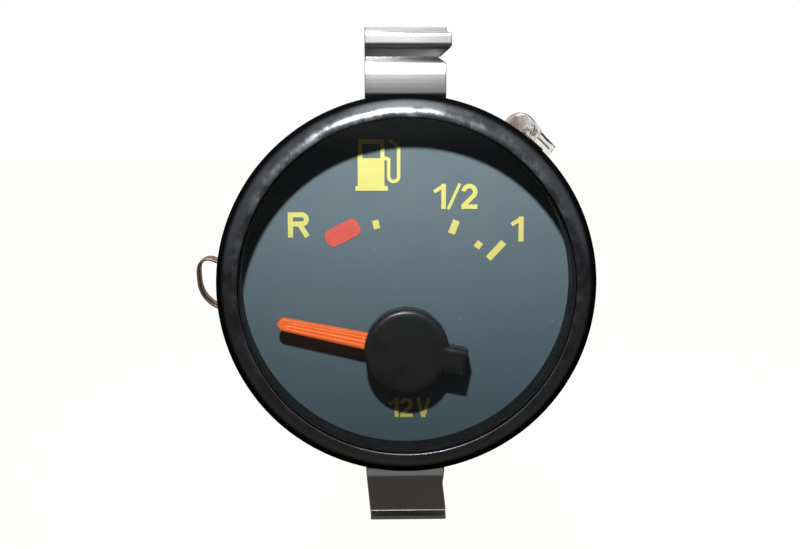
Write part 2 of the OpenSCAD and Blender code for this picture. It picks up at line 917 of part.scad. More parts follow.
// Notches that let the two coils pass the bobbin's flanges
module coil_clear() {
    for (a = [0, 90])
        rotate([0, a, 0])
            for (s = [-1, 1])
                translate([-half_gap - coil_w - 0.1, bobbin_y - 1, s > 0 ? coil_in - 0.05 : -20])
                    cube([2 * (half_gap + coil_w + 0.1), bobbin_back - bobbin_y + 2, 20 - coil_in + 0.05]);
}

module coil_upright() {
    color([0.72, 0.38, 0.16])
        at_pivot()
            upright_loops();
}

module coil_level() {
    color([0.66, 0.33, 0.14])
        at_pivot()
            level_loops();
}

module return_magnet() {
    color([0.25, 0.25, 0.27])
        at_pivot()
            translate([-1.2, bobbin_mid - 1.5, bobbin_r])
                cube([2.4, 3, 1.4]);
}

// Places its children at a screw of the shield can, at an angle about the pivot
module shield_screw_place(a) {
    r = shield_r + shield_t + shield_screw_r + 0.9;
    translate([r * cos(a), 0, r * sin(a)])
        children();
}

module shield_can() {
    color([0.62, 0.62, 0.6])
        at_pivot()
            difference() {
                union() {
                    bar(shield_r + shield_t, frame_back, shield_back + shield_t);
                    intersection() {
                        union()
                            for (a = shield_screw_angles)
                                shield_screw_place(a)
                                    bar(shield_screw_r + 1.1, frame_back, frame_back + shield_t);
                        translate([0, 0, pivot_drop])
                            bar(case_in - 0.2, frame_back, frame_back + shield_t);
                    }
                }
                bar(shield_r, frame_back - 1, shield_back);
                for (a = shield_screw_angles)
                    shield_screw_place(a)
                        bar(shield_screw_r + 0.1, frame_back - 1, frame_back + 2);
            }
}

module shield_screws() {
    color([0.8, 0.8, 0.78])
        at_pivot()
            for (a = shield_screw_angles)
                shield_screw_place(a)
                    union() {
                        bar(shield_screw_r, dial_back + 0.5, frame_back + shield_t + eps);
                        bar(shield_screw_r + 0.7, frame_back + shield_t, frame_back + shield_t + 0.8);
                    }
}

module circuit_board() {
    color([0.2, 0.35, 0.2])
        difference() {
            bar(case_in - 0.6, board_y, board_back);
            for (p = pillars)
                translate([p.x, 0, p.y])
                    bar(screw_r + 0.1, board_y - 1, board_back + 1);
        }
}

module ballast_resistor() {
    lead = resistor_lead / 2;
    reach = resistor_l / 2 + 1;
    color([0.8, 0.72, 0.55])
        translate([0, board_back, resistor_z])
            union() {
                translate([-resistor_l / 2, resistor_r + 0.1, 0])
                    rotate([0, 90, 0])
                        cylinder(r = resistor_r, h = resistor_l);
                for (s = [-1, 1]) {
                    translate([s * reach - lead, 0, -lead])
                        cube([resistor_lead, resistor_r + 0.1 + lead, resistor_lead]);
                    translate([s > 0 ? reach - 1.2 : -reach - lead, resistor_r + 0.1 - lead, -lead])
                        cube([1.2 + lead, resistor_lead, resistor_lead]);
                }
            }
}

module board_spacers() {
    color([0.75, 0.75, 0.72])
        for (p = pillars)
            translate([p.x, 0, p.y])
                tube(pillar_r, screw_r + 0.1, board_back, case_in_y);
}

module case_screws() {
    color([0.82, 0.82, 0.8])
        for (p = pillars)
            translate([p.x, 0, p.y])
                difference() {
                    union() {
                        bar(screw_r, board_y - 6, case_len + eps);
                        bar(screw_head_r, case_len, case_len + screw_head_t);
                    }
                    translate([-screw_head_r - 1, case_len + screw_head_t - 0.6, -0.35])
                        cube([2 * screw_head_r + 2, 1, 0.7]);
                }
}

module terminal_board() {
    color([0.08, 0.08, 0.08])
        difference() {
            union() {
                slab(case_len, terminal_board_t)
                    square([2 * plate_x, 2 * plate_z], center = true);
                for (s = [-1, 1])
                    translate([s * blade_x - 1.5 + fit, case_in_y, -blade_w / 2 - 1 + fit])
                        cube([3 - 2 * fit, rear_t + eps, blade_w + 2 - 2 * fit]);
            }
            bar(stud_r + fit, case_in_y, case_len + terminal_board_t + 1);
            for (s = [-1, 1]) {
                translate([s * blade_x - blade_t / 2, case_in_y - 1, -blade_w / 2])
                    cube([blade_t, rear_t + terminal_board_t + 2, blade_w]);
                translate([s * rivet_at.x, 0, s * rivet_at.y])
                    bar(rivet_r + fit, case_len - 1, case_len + terminal_board_t + 1);
            }
        }
}

module terminal_blades() {
    tip = 1.4;
    color([0.85, 0.75, 0.45])
        for (s = [-1, 1])
            translate([s * blade_x + blade_t / 2, 0, 0])
                rotate([0, -90, 0])
                    difference() {
                        linear_extrude(height = blade_t)
                            polygon([[-blade_w / 2, board_back], [blade_w / 2, board_back],
                                [blade_w / 2, blade_end - tip], [blade_w / 2 - tip, blade_end],
                                [-blade_w / 2 + tip, blade_end], [-blade_w / 2, blade_end - tip]]);
                        translate([0, blade_end - blade_eye_at, -1])
                            cylinder(r = blade_eye, h = blade_t + 2, $fn = 32);
                    }
}

module terminal_rivets() {
    color([0.8, 0.65, 0.3])
        for (s = [-1, 1])
            translate([s * rivet_at.x, 0, s * rivet_at.y]) {
                bar(rivet_r, case_in_y - 0.5, case_len + terminal_board_t + eps);
                bar(rivet_r + rivet_head.x, case_in_y - rivet_head.y, case_in_y);
                bar(rivet_r + rivet_head.x, case_len + terminal_board_t,
                    case_len + terminal_board_t + rivet_head.y);
            }
}

module earth_terminal() {
    color([0.8, 0.8, 0.78])
        translate([earth_blade.x, case_len, earth_blade.y]) {
            translate([-blade_w / 2, 0, -earth_tab.x])
                cube([blade_w, blade_t, earth_tab.y]);
            difference() {
                translate([-blade_w / 2, 0, -earth_tab.x])
                    cube([blade_w, blade_reach, blade_t]);
                translate([0, blade_reach - blade_eye_at, -2 * earth_tab.x])
                    cylinder(r = blade_eye, h = 4 * earth_tab.x, $fn = 32);
            }
        }
}

module clamp_stud() {
    color([0.8, 0.78, 0.7])
        union() {
            bar(stud_r * 1.7, case_in_y - 1.8, case_in_y);
            turned([[0, case_in_y - eps], [stud_r, case_in_y - eps], [stud_r, stud_end - 0.5],
                [stud_r - 0.5, stud_end], [0, stud_end]]);
        }
}

module clamp_strap() {
    far = leg_r + 16;
    color([0.78, 0.77, 0.74])
        difference() {
            intersection() {
                translate([-foot_x - 3, 0, 0])
                    rotate([90, 0, 90])
                        linear_extrude(height = strap_w + 6)
                            strap_profile();
                slab(-far, 3 * far)
                    strap_outline();
            }
            bar(stud_r + stud_free, strap_y - 2, strap_y + 2);
        }
}

module lock_washer() {
    color([0.6, 0.6, 0.6])
        difference() {
            tube(stud_r + washer_w, stud_r + stud_free, washer_y, washer_y + washer_t);
            translate([0, washer_y - 1, -washer_slit / 2])
                cube([stud_r + 2 * washer_w, washer_t + 2, washer_slit]);
        }
}

module thumb_nut() {
    neck = nut_d / 2 - 1.6;
    shoulder = 1.4;
    color([0.78, 0.66, 0.36])
        difference() {
            union() {
                bar(neck, nut_y, nut_y + shoulder + eps);
                bar(nut_d / 2 - 0.3, nut_y + shoulder, nut_y + nut_h);
                for (i = [0:nut_ribs - 1])
                    rotate([0, i * 360 / nut_ribs, 0])
                        translate([-0.35, nut_y + shoulder, nut_d / 2 - 0.9])
                            cube([0.7, nut_h - shoulder, 0.9]);
            }
            bar(stud_r + nut_gap, nut_y - 1, nut_y + nut_h + 1);
        }
}

// Cross section of the rail with an even allowance round it
module rail_section(extra) {
    translate([-rail_web / 2 - extra, case_r - 0.05])
        square([rail_web + 2 * extra, rail_web_h + 0.05]);
    translate([-rail_w / 2 - extra, case_r + rail_web_h - extra])
        square([rail_w + 2 * extra, rail_head_h + 2 * extra]);
}

module lamp_rail() {
    color([0.15, 0.15, 0.16])
        difference() {
            at_rail()
                slab(rail_y, rail_len)
                    rail_section(0);
            bar(case_r, 0, case_len);
        }
}

module lamp_holder() {
    floor = case_r + rail_gap;
    mouth = bulb_len / 2 - base_len;
    color([0.06, 0.06, 0.06])
        difference() {
            union() {
                at_rail()
                    translate([-holder_w / 2, rail_y, floor])
                        cube([holder_w, block_l, holder_top - floor]);
                at_bulb()
                    translate([mouth - socket_lip, -socket_w / 2, floor - bulb_at])
                        cube([base_len + socket_lip + socket_wall, socket_w, holder_top - floor]);
                at_lamp() {
                    translate([tab_from, tab_y, floor])
                        cube([tab_w, tab_t, tab_top - floor]);
                    translate([tab_from, tab_y, floor])
                        cube([arm_from + arm_across - tab_from, tab_t, arm_top - floor]);
                    translate([arm_from, tab_y, floor])
                        cube([arm_across, lamp_y + 2 - tab_y, arm_top - floor]);
                }
            }
            bar(floor, 0, case_len);
            at_rail()
                slab(0, case_len)
                    rail_section(rail_gap);
            at_bulb() {
                translate([mouth - 1, 0, 0])
                    rotate([0, 90, 0])
                        cylinder(r = bulb_r + 0.1, h = 1);
                translate([mouth, -base_t / 2 - contact_t - 0.1, -base_w / 2 - 0.1])
                    cube([base_len + 0.1, base_t + 2 * contact_t + 0.2, base_w + 0.2]);
            }
        }
}

module lamp_glass() {
    x0 = -bulb_len / 2;
    x1 = x0 + glass_len;
    seal = 1;
    color([0.9, 0.92, 0.92, 0.35])
        at_bulb() {
            difference() {
                union() {
                    translate([x0 + bulb_r, 0, 0])
                        rotate([0, 90, 0])
                            cylinder(r = bulb_r, h = glass_len - bulb_r);
                    translate([x0 + bulb_r, 0, 0])
                        sphere(r = bulb_r);
                    translate([x1 - eps, -base_t / 2, -base_w / 2])
                        cube([base_len + eps, base_t, base_w]);
                }
                translate([x0 + bulb_r, 0, 0])
                    rotate([0, 90, 0])
                        cylinder(r = bulb_r - bulb_wall, h = glass_len - bulb_r - seal);
                translate([x0 + bulb_r, 0, 0])
                    sphere(r = bulb_r - bulb_wall);
                for (s = [-1, 1])
                    translate([x1 - 2 * seal, 0, s * leg_at])
                        rotate([0, 90, 0])
                            cylinder(r = wire_r, h = base_len + 3 * seal, $fn = 24);
            }
        }
}

module lamp_filament() {
    x0 = -bulb_len / 2 + 3.4;
    x1 = bulb_len / 2 - 0.4;
    color([0.5, 0.5, 0.52])
        at_bulb() {
            for (s = [-1, 1])
                translate([x0, 0, s * leg_at])
                    rotate([0, 90, 0])
                        cylinder(r = wire_r, h = x1 - x0, $fn = 24);
            translate([x0 + wire_r, 0, -leg_at])
                cylinder(r = wire_r, h = 2 * leg_at, $fn = 24);
        }
}

module lamp_contacts() {
    color([0.85, 0.7, 0.35])
        at_bulb()
            for (y = [-base_t / 2 - contact_t, base_t / 2])
                translate([bulb_len / 2 - base_len + 0.2, y, -base_w / 2])
                    cube([base_len - 0.3, contact_t, base_w / 2 + contact_top]);
}

module earth_strip() {
    color([0.35, 0.27, 0.2])
        difference() {
            slab(earth_y, earth_w)
                band(earth_path, earth_t);
            earth_rivet_place()
                translate([0, 0, case_in - 2])
                    cylinder(r = 0.9, h = 6, $fn = 32);
        }
}

// Moves its children onto the earth rivet: Z outward through the case wall
module earth_rivet_place() {
    translate([0, earth_y + earth_w / 2, 0])
        rotate([0, -90 + (earth_from + earth_to) / 2, 0])
            children();
}

module earth_rivet() {
    color([0.7, 0.68, 0.62])
        earth_rivet_place() {
            translate([0, 0, case_in - 0.6])
                cylinder(r = 0.9, h = case_wall + 0.6 + fit + earth_t + 0.2, $fn = 32);
            translate([0, 0, case_r + fit + earth_t + 0.1])
                cylinder(r = 1.5, h = 0.6, $fn = 32);
            translate([0, 0, case_in - 0.8])
                cylinder(r = 1.4, h = 0.6, $fn = 32);
        }
}

bezel_ring();
glass_lens();
lens_gasket();
visor_ring();
case_shell();
lamp_window();
dial_plate();
dial_print_yellow();
dial_print_red();
pointer_blade();
pointer_hub_cap();
pointer_bush();
pointer_shaft();
stop_arm();
rotor_magnet();
movement_frame();
front_bearing();
rear_bearing();
bobbin_front();
bobbin_rear();
coil_upright();
coil_level();
return_magnet();
shield_can();
shield_screws();
circuit_board();
ballast_resistor();
board_spacers();
case_screws();
terminal_board();
terminal_blades();
terminal_rivets();
earth_terminal();
clamp_stud();
clamp_strap();
lock_washer();
thumb_nut();
lamp_rail();
lamp_holder();
lamp_glass();
lamp_filament();
lamp_contacts();
earth_strip();
earth_rivet();
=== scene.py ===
# %% [markdown]
# # A panel-mounted fuel gauge
# The gauge is a small round instrument with a rolled black bezel, a glass lens, a printed
# dial and an orange pointer. A strap clamps it to its panel, and a lamp on its side lights
# the dial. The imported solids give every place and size. This file gives the surfaces that
# a viewer sees: smooth turned rims, bent sheet, ground glass, printed ink and their wear.
# Shapes are worked out in millimetres and put into the meshes in metres.

# %% Frame and tools
import math
import bmesh
import bpy
import numpy as np
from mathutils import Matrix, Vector


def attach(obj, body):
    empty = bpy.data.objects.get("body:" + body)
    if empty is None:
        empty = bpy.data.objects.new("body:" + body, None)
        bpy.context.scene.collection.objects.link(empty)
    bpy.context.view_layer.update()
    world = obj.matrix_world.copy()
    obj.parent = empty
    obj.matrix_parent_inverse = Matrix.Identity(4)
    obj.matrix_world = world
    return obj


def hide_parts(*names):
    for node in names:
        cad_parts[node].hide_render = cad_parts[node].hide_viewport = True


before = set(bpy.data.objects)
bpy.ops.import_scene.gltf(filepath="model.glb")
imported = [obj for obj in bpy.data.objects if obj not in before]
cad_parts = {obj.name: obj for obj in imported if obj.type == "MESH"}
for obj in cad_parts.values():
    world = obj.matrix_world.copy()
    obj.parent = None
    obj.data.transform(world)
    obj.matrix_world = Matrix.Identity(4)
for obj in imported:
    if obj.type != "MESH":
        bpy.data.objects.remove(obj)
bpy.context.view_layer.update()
MM = 0.001


def placed(name, data):
    """A new object for a mesh, lamp or camera, linked into the scene."""
    thing = bpy.data.objects.new(name, data)
    bpy.context.scene.collection.objects.link(thing)
    return thing


print("frame loaded:", len(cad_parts), "nodes")

# %% Main sizes in millimetres
CASE_R = 25.8
BEZEL_R = 28.0
SHEET = 0.8
ROLL = 2.9
ROLL_R = BEZEL_R - ROLL
CROWN_Y = -6.5
ROLL_Y = CROWN_Y + ROLL
LIP_R = 24.65
LENS_Y = -5.7
DIAL_Y = 3.5
PIVOT_Z = -9.7
REST = math.radians(-78)
HUB_R = 6.3
HUB_Y = DIAL_Y - 7.1
BLADE_Y = DIAL_Y - 4.8
STRAP_T = 0.8
NUT_Y = 40.8
LAMP_ANGLE = math.radians(42)
LAMP_TURN = math.radians(40)
LAMP_Y = 8.8
LAMP_AT = 28.7
print("bezel", 2 * BEZEL_R, "mm across, dial", DIAL_Y, "mm behind the panel plane")

# %% [markdown]
# ## Camera
# The photograph looks at the dial from nearly straight ahead: eight degrees above and a
# little over one to the left, and close enough for the crown to hide part of the feet.
# The distance and the aim are those at which the bezel's outline has the same size and
# place in the picture.

# %% Camera
AIM = Vector((-0.00099, -0.003, 0.00164))
DISTANCE = 0.1841
ELEVATION = math.radians(8)
ASIDE = math.radians(1.6)
toward = Vector((-math.sin(ASIDE) * math.cos(ELEVATION), -math.cos(ASIDE) * math.cos(ELEVATION),
                 math.sin(ELEVATION)))
camera_data = bpy.data.cameras.new("camera")
camera_data.lens = 56.19
camera_data.sensor_width = 36
camera_data.clip_start = 0.01
camera_data.clip_end = 10
camera = placed("camera", camera_data)
camera.location = AIM + DISTANCE * toward
camera.rotation_euler = (-toward).to_track_quat("-Z", "Y").to_euler()
bpy.context.scene.camera = camera
bpy.context.scene.view_settings.view_transform = "Standard"
print("camera", 1000 * DISTANCE, "mm from the gauge, 8 degrees up")

# %% [markdown]
# ## Surfaces from grids
# Nearly every piece is a grid of points: rows follow a profile, columns go round it. The
# grid is worked out as one array, so a piece is a formula that can be read and changed.
# A shell is a pair of arrays, points and faces, and several shells make one mesh. The
# signed volume of a shell says if it is inside out, so that is put right in one place.


# %% Shells
def shell(points, faces, hollow=False):
    """A closed shell. The sum over its triangles of a . (b x c) / 6 is its volume: the
    faces are turned so that it is positive, or negative for a hollow inside a piece."""
    corners = points[faces[:, :3]]
    volume = np.einsum("ij,ij->i", corners[:, 0], np.cross(corners[:, 1], corners[:, 2])).sum()
    if faces.shape[1] == 4:
        corners = points[faces[:, [0, 2, 3]]]
        volume += np.einsum("ij,ij->i", corners[:, 0], np.cross(corners[:, 1], corners[:, 2])).sum()
    if (volume < 0) != hollow:
        faces = faces[:, ::-1]
    return points, faces


def wrapped(grid, ring=False, hollow=False):
    """A closed shell from a grid of points, rows by columns by 3. The columns wrap round.
    The rows wrap too for a ring. Otherwise each end row is closed on its middle point."""
    rows, columns = grid.shape[:2]
    points = grid.reshape(-1, 3)
    i, j = np.meshgrid(np.arange(rows if ring else rows - 1), np.arange(columns), indexing="ij")
    i, j = i.ravel(), j.ravel()
    below, right = (i + 1) % rows, (j + 1) % columns
    faces = np.stack([i * columns + j, i * columns + right, below * columns + right,
                      below * columns + j], axis=1)
    if not ring:
        ends = np.stack([grid[0].mean(axis=0), grid[-1].mean(axis=0)])
        points = np.concatenate([points, ends])
        k = np.arange(columns)
        after = (k + 1) % columns
        last = (rows - 1) * columns
        first_cap = np.stack([np.full(columns, rows * columns), after, k, k], axis=1)
        last_cap = np.stack([np.full(columns, rows * columns + 1), last + k, last + after,
                             last + after], axis=1)
        faces = np.concatenate([faces, first_cap, last_cap])
    return shell(points, faces, hollow)


def joined(*shells):
    """Several shells as one, with the faces' numbers moved up to match."""
    starts = np.cumsum([0] + [len(points) for points, faces in shells[:-1]])
    points = np.concatenate([points for points, faces in shells])
    faces = np.concatenate([faces + start for (_, faces), start in zip(shells, starts)])
    return points, faces


# %% Meshes and pieces
PIECES = {}


def mesh_of(name, surface):
    """A mesh in metres from a shell in millimetres. A face that names one point twice is
    a triangle, so the second mention goes."""
    points, faces = surface
    mesh = bpy.data.meshes.new(name)
    mesh.from_pydata((points * MM).tolist(), [], [tuple(dict.fromkeys(face)) for face in faces.tolist()])
    return mesh


def baked(thing):
    """The thing's mesh with its modifiers worked in, as plain mesh."""
    graph = bpy.context.evaluated_depsgraph_get()
    return bpy.data.meshes.new_from_object(thing.evaluated_get(graph))


def added(name, mesh, look, body, replaces, crease):
    """Smooths a mesh except at edges sharper than the crease angle, gives it its finish,
    sets it on the body it rides on and hides the solids it stands for."""
    mesh.shade_smooth()
    mesh.set_sharp_from_angle(angle=math.radians(crease))
    mesh.materials.clear()
    mesh.materials.append(FINISHES[look])
    thing = placed(name, mesh)
    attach(thing, body)
    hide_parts(*replaces)
    PIECES[name] = thing
    print(f"{name}: {len(mesh.vertices)} points, {len(mesh.polygons)} faces")
    return thing


def piece(name, surface, look, body, replaces, crease=35):
    """Adds a shell given in millimetres as a piece."""
    mesh = mesh_of(name, surface)
    mesh.validate()
    return added(name, mesh, look, body, replaces, crease)


# %% [markdown]
# ## Profiles and paths
# A real edge is never perfectly sharp: sheet bends over a radius, and a turned edge is
# broken by the tool. So a profile is first drawn with sharp corners, as on a drawing, and
# then each corner becomes an arc of the radius given for it.


# %% Rounded corners
def eased(path, reach, closed=False, turn_step=9):
    """A path in a plane whose corners are arcs. Each arc starts a reach away from its
    corner along both legs, but never past a leg's middle. One number or one per corner."""
    path = [np.array(p, float) for p in path]
    count = len(path)
    reaches = reach if hasattr(reach, "__len__") else [reach] * count
    made = []
    for k in range(count):
        if not closed and k in (0, count - 1):
            made.append(path[k][None])
            continue
        before, here, after = path[k - 1], path[k], path[(k + 1) % count]
        a, b = np.linalg.norm(before - here), np.linalg.norm(after - here)
        u, w = (here - before) / a, (after - here) / b
        cross = u[0] * w[1] - u[1] * w[0]
        turn = math.atan2(abs(cross), float(u @ w))
        back = min(reaches[k], a / 2.05, b / 2.05)
        if turn < 0.02 or back < 1e-4:
            made.append(here[None])
            continue
        radius = back / math.tan(turn / 2)
        inward = math.copysign(1, cross) * np.array([-u[1], u[0]])
        centre = here - back * u + radius * inward
        angle = np.linspace(0, turn, max(2, math.ceil(math.degrees(turn) / turn_step)) + 1)[:, None]
        made.append(centre - radius * np.cos(angle) * inward + radius * np.sin(angle) * u)
    return np.concatenate(made)


def evenly(path, spacing, closed=False):
    """The same path with extra points, so that no two neighbours are further apart than
    the spacing. The corners stay where they are."""
    ends = np.vstack([path, path[:1]]) if closed else path
    parts = []
    for a, b in zip(ends[:-1], ends[1:]):
        count = max(1, math.ceil(np.linalg.norm(b - a) / spacing))
        parts.append(a + (b - a) * np.arange(count)[:, None] / count)
    if not closed:
        parts.append(path[-1:])
    return np.concatenate(parts)


def turned(profile, columns=288, centre=(0, 0), ring=False, hollow=False, swell=None):
    """A profile of radius and depth turned about a line along Y: x = cx + r sin a,
    y = depth, z = cz + r cos a. The swell is added to the radius, row by column."""
    angle = np.arange(columns) * 2 * math.pi / columns
    radius = np.repeat(profile[:, :1], columns, axis=1)
    if swell is not None:
        radius = radius + swell(profile[:, :1], profile[:, 1:2], angle[None, :])
    grid = np.stack([centre[0] + radius * np.sin(angle),
                     np.repeat(profile[:, 1:2], columns, axis=1),
                     centre[1] + radius * np.cos(angle)], axis=2)
    return wrapped(grid, ring, hollow)


def sheet_strip(path, low, high, thickness, place, corner=0.18):
    """A strip of sheet along a path in a plane. Its section is a rounded rectangle, from
    low to high across and half a thickness to both sides of the path."""
    tangent = np.gradient(path, axis=0)
    tangent /= np.linalg.norm(tangent, axis=1)[:, None]
    normal = np.stack([-tangent[:, 1], tangent[:, 0]], axis=1)
    quarter = np.linspace(0, math.pi / 2, 4)
    cos, sin = np.cos(quarter), np.sin(quarter)
    across = np.concatenate([cos, -sin, -cos, sin]) * corner
    through = np.concatenate([sin, cos, -sin, -cos]) * corner
    side = np.repeat([1, 0, 0, 1], 4)
    face = np.repeat([1, 1, -1, -1], 4) * (thickness / 2 - corner)
    low, high = np.broadcast_to(low, len(path))[:, None], np.broadcast_to(high, len(path))[:, None]
    width = np.where(side[None], high - corner, low + corner) + across
    depth = face + through
    flat = path[:, None] + normal[:, None] * depth[None, :, None]
    return wrapped(place(width, flat[..., 0], flat[..., 1]))


def wire(path, radius, columns=12, aside=(0, 0, 1)):
    """A round wire along a path in space. Each ring stands square to the path, and its
    first point looks toward the aside direction, made square to the path."""
    tangent = np.gradient(path, axis=0)
    tangent /= np.linalg.norm(tangent, axis=1)[:, None]
    aside = np.broadcast_to(np.array(aside, float), path.shape)
    first = aside - (aside * tangent).sum(axis=1)[:, None] * tangent
    first /= np.linalg.norm(first, axis=1)[:, None]
    second = np.cross(tangent, first)
    angle = np.arange(columns) * 2 * math.pi / columns
    ring = first[:, None] * np.cos(angle)[None, :, None] + second[:, None] * np.sin(angle)[None, :, None]
    return wrapped(path[:, None] + radius * ring)


def bar(path, radius, **more):
    """A wire along a straight or bent run of a few points."""
    return wire(evenly(np.array(path, float), 1.0), radius, **more)


# %% [markdown]
# ## Softened solids
# Boards, blades, screws and moulded blocks have the right shape already. What a packed
# solid lacks is the small broken edge that catches light, so a copy of it is merged, its
# flat faces are joined up, and a narrow bevel goes round. The bevel is baked into the
# mesh, so that nothing depends on a live modifier.


# %% Softened copies
def softened(node, look, body, width, segments, crease=30):
    """A copy of a solid with every sharp edge broken by the width in millimetres."""
    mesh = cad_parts[node].data.copy()
    mesh.materials.clear()
    work = bmesh.new()
    work.from_mesh(mesh)
    bmesh.ops.remove_doubles(work, verts=work.verts, dist=1e-6)
    bmesh.ops.dissolve_limit(work, angle_limit=math.radians(1), verts=work.verts, edges=work.edges)
    bmesh.ops.recalc_face_normals(work, faces=work.faces)
    work.to_mesh(mesh)
    work.free()
    if width:
        holder = placed("holder", mesh)
        bevel = holder.modifiers.new("edge", "BEVEL")
        bevel.width = width * MM
        bevel.segments = segments
        bevel.limit_method = "ANGLE"
        bevel.angle_limit = math.radians(crease)
        mesh = baked(holder)
        bpy.data.objects.remove(holder)
    name = node + "_soft"
    mesh.name = name
    added(name, mesh, look, body, [node], crease + 5)


# %% [markdown]
# ## Effects for the finishes
# Five effects come back in the finishes: a cloudy change of tone, fine scratches from
# wiping, specks of dust, lines left by rolling or winding, and paint worn off the edges.
# Each could be drawn anew in every material. As one shader group with named inputs it is
# built once, and a material only says how much of it there is.


# %% Shader helpers
def paint(red, green, blue):
    """A colour given as it looks on screen, turned into the linear light Blender wants."""
    value = np.array([red, green, blue], float) / 255
    linear = np.where(value <= 0.04045, value / 12.92, ((value + 0.055) / 1.055) ** 2.4)
    return (*linear.tolist(), 1.0)


class Wiring:
    """Adds nodes to one tree and joins them, so that a material reads as a list. An input
    is given by its name, or as n and its number where two inputs share a name."""

    def __init__(self, tree):
        self.tree = tree

    def add(self, kind, settings=None, **inputs):
        node = self.tree.nodes.new(kind)
        for key, value in (settings or {}).items():
            setattr(node, key, value)
        for key, value in inputs.items():
            self.feed(node, key, value)
        return node

    def feed(self, node, key, value):
        numbered = key[:1] == "n" and key[1:].isdigit()
        socket = node.inputs[int(key[1:]) if numbered else key.replace("_", " ")]
        if isinstance(value, bpy.types.NodeSocket):
            self.tree.links.new(value, socket)
        else:
            socket.default_value = value

    def math(self, operation, a, b=0.0, clamp=False):
        settings = {"operation": operation, "use_clamp": clamp}
        return self.add("ShaderNodeMath", settings, n0=a, n1=b).outputs[0]

    def ramp(self, value, low, high, to_low=0.0, to_high=1.0):
        node = self.add("ShaderNodeMapRange", {"interpolation_type": "SMOOTHSTEP"})
        for key, number in (("Value", value), ("From Min", low), ("From Max", high),
                            ("To Min", to_low), ("To Max", to_high)):
            self.feed(node, key, number)
        return node.outputs[0]

    def mix(self, factor, a, b):
        node = self.add("ShaderNodeMix", {"data_type": "RGBA"})
        self.feed(node, "n0", factor)
        self.feed(node, "n6", a)
        self.feed(node, "n7", b)
        return node.outputs[2]

    def spot(self):
        """The point's place on its own piece, in metres."""
        return self.add("ShaderNodeTexCoord").outputs["Object"]

    def along(self, axis):
        return self.add("ShaderNodeSeparateXYZ", Vector=self.spot()).outputs[axis]

    def show(self, surface):
        self.tree.links.new(surface, self.add("ShaderNodeOutputMaterial").inputs["Surface"])

    def give(self, value):
        self.tree.links.new(value, self.result[0])


def blank(name):
    """A new material with nothing in its tree yet, and the wiring for it."""
    material = bpy.data.materials.new(name)
    material.use_nodes = True
    material.node_tree.nodes.clear()
    return material, Wiring(material.node_tree)


def effect(name, inputs, output):
    """An empty shader group with the named number inputs and one output."""
    tree = bpy.data.node_groups.new(name, "ShaderNodeTree")
    for label, start in inputs:
        socket = tree.interface.new_socket(name=label, in_out="INPUT", socket_type="NodeSocketFloat")
        socket.default_value = start
    tree.interface.new_socket(name=output, in_out="OUTPUT", socket_type="NodeSocketFloat")
    made = Wiring(tree)
    made.source = tree.nodes.new("NodeGroupInput").outputs
    made.result = tree.nodes.new("NodeGroupOutput").inputs
    return made


print("the middle grey of a screen gives back", round(paint(128, 128, 128)[0], 3), "of the light")

# %% Cloudy tone
cloud = effect("cloudy tone", [("Scale", 200.0), ("Detail", 4.0)], "Value")
noise = cloud.add("ShaderNodeTexNoise", Vector=cloud.spot(), Scale=cloud.source["Scale"],
                  Detail=cloud.source["Detail"], Roughness=0.55)
cloud.give(cloud.ramp(noise.outputs[0], 0.3, 0.7))

# %% Fine scratches
hair = effect("fine scratches", [("Scale", 150.0), ("Amount", 0.5)], "Mask")
spot = hair.spot()
masks = []
for turn in (0.4, 1.5, 2.5):
    turned_spot = hair.add("ShaderNodeMapping", Vector=spot, Rotation=(0.3, turn, 0.7 * turn),
                           Scale=(1.0, 1.0, 0.04))
    lines = hair.add("ShaderNodeTexNoise", Vector=turned_spot.outputs[0],
                     Scale=hair.math("MULTIPLY", hair.source["Scale"], 9.0), Detail=1.0)
    masks.append(hair.ramp(lines.outputs[0], 0.69, 0.74))
both = hair.math("MAXIMUM", hair.math("MAXIMUM", masks[0], masks[1]), masks[2])
hair.give(hair.math("MULTIPLY", both, hair.source["Amount"]))

# %% Specks of dust
dust = effect("specks of dust", [("Scale", 900.0), ("Cover", 0.04)], "Mask")
cells = dust.add("ShaderNodeTexVoronoi", Vector=dust.spot(), Scale=dust.source["Scale"], Randomness=1.0)
picked = dust.add("ShaderNodeTexWhiteNoise", {"noise_dimensions": "3D"}, Vector=cells.outputs["Position"])
present = dust.math("LESS_THAN", picked.outputs["Value"], dust.source["Cover"])
near = dust.ramp(cells.outputs["Distance"], 0.12, 0.3, 1.0, 0.0)
dust.give(dust.math("MULTIPLY", near, present))

# %% Rolled or brushed lines
brush = effect("brushed lines", [("Along X", 1.0), ("Along Y", 1.0), ("Along Z", 1.0), ("Scale", 2500.0)],
               "Value")
spot = brush.spot()
squeeze = brush.add("ShaderNodeCombineXYZ", X=brush.source["Along X"], Y=brush.source["Along Y"],
                    Z=brush.source["Along Z"])
stretched = brush.add("ShaderNodeVectorMath", {"operation": "MULTIPLY"}, n0=spot, n1=squeeze.outputs[0])
lines = brush.add("ShaderNodeTexNoise", Vector=stretched.outputs[0], Scale=brush.source["Scale"],
                  Detail=3.0, Roughness=0.6)
brush.give(lines.outputs[0])

# %% Worn edges
worn = effect("worn edges", [("Width", 0.0003), ("Scale", 700.0)], "Mask")
rounded = worn.add("ShaderNodeBevel", {"samples": 4}, Radius=worn.source["Width"]).outputs[0]
flat = worn.add("ShaderNodeNewGeometry").outputs["Normal"]
same = worn.add("ShaderNodeVectorMath", {"operation": "DOT_PRODUCT"}, n0=rounded, n1=flat)
edge = worn.ramp(same.outputs["Value"], 0.985, 0.93)
spot = worn.spot()
breaks = worn.add("ShaderNodeTexNoise", Vector=spot, Scale=worn.source["Scale"], Detail=4.0)
worn.give(worn.math("MULTIPLY", edge, worn.ramp(breaks.outputs[0], 0.42, 0.6)))
EFFECTS = {"cloud": cloud, "hair": hair, "dust": dust, "brush": brush, "worn": worn}
print("effects:", ", ".join(EFFECTS))

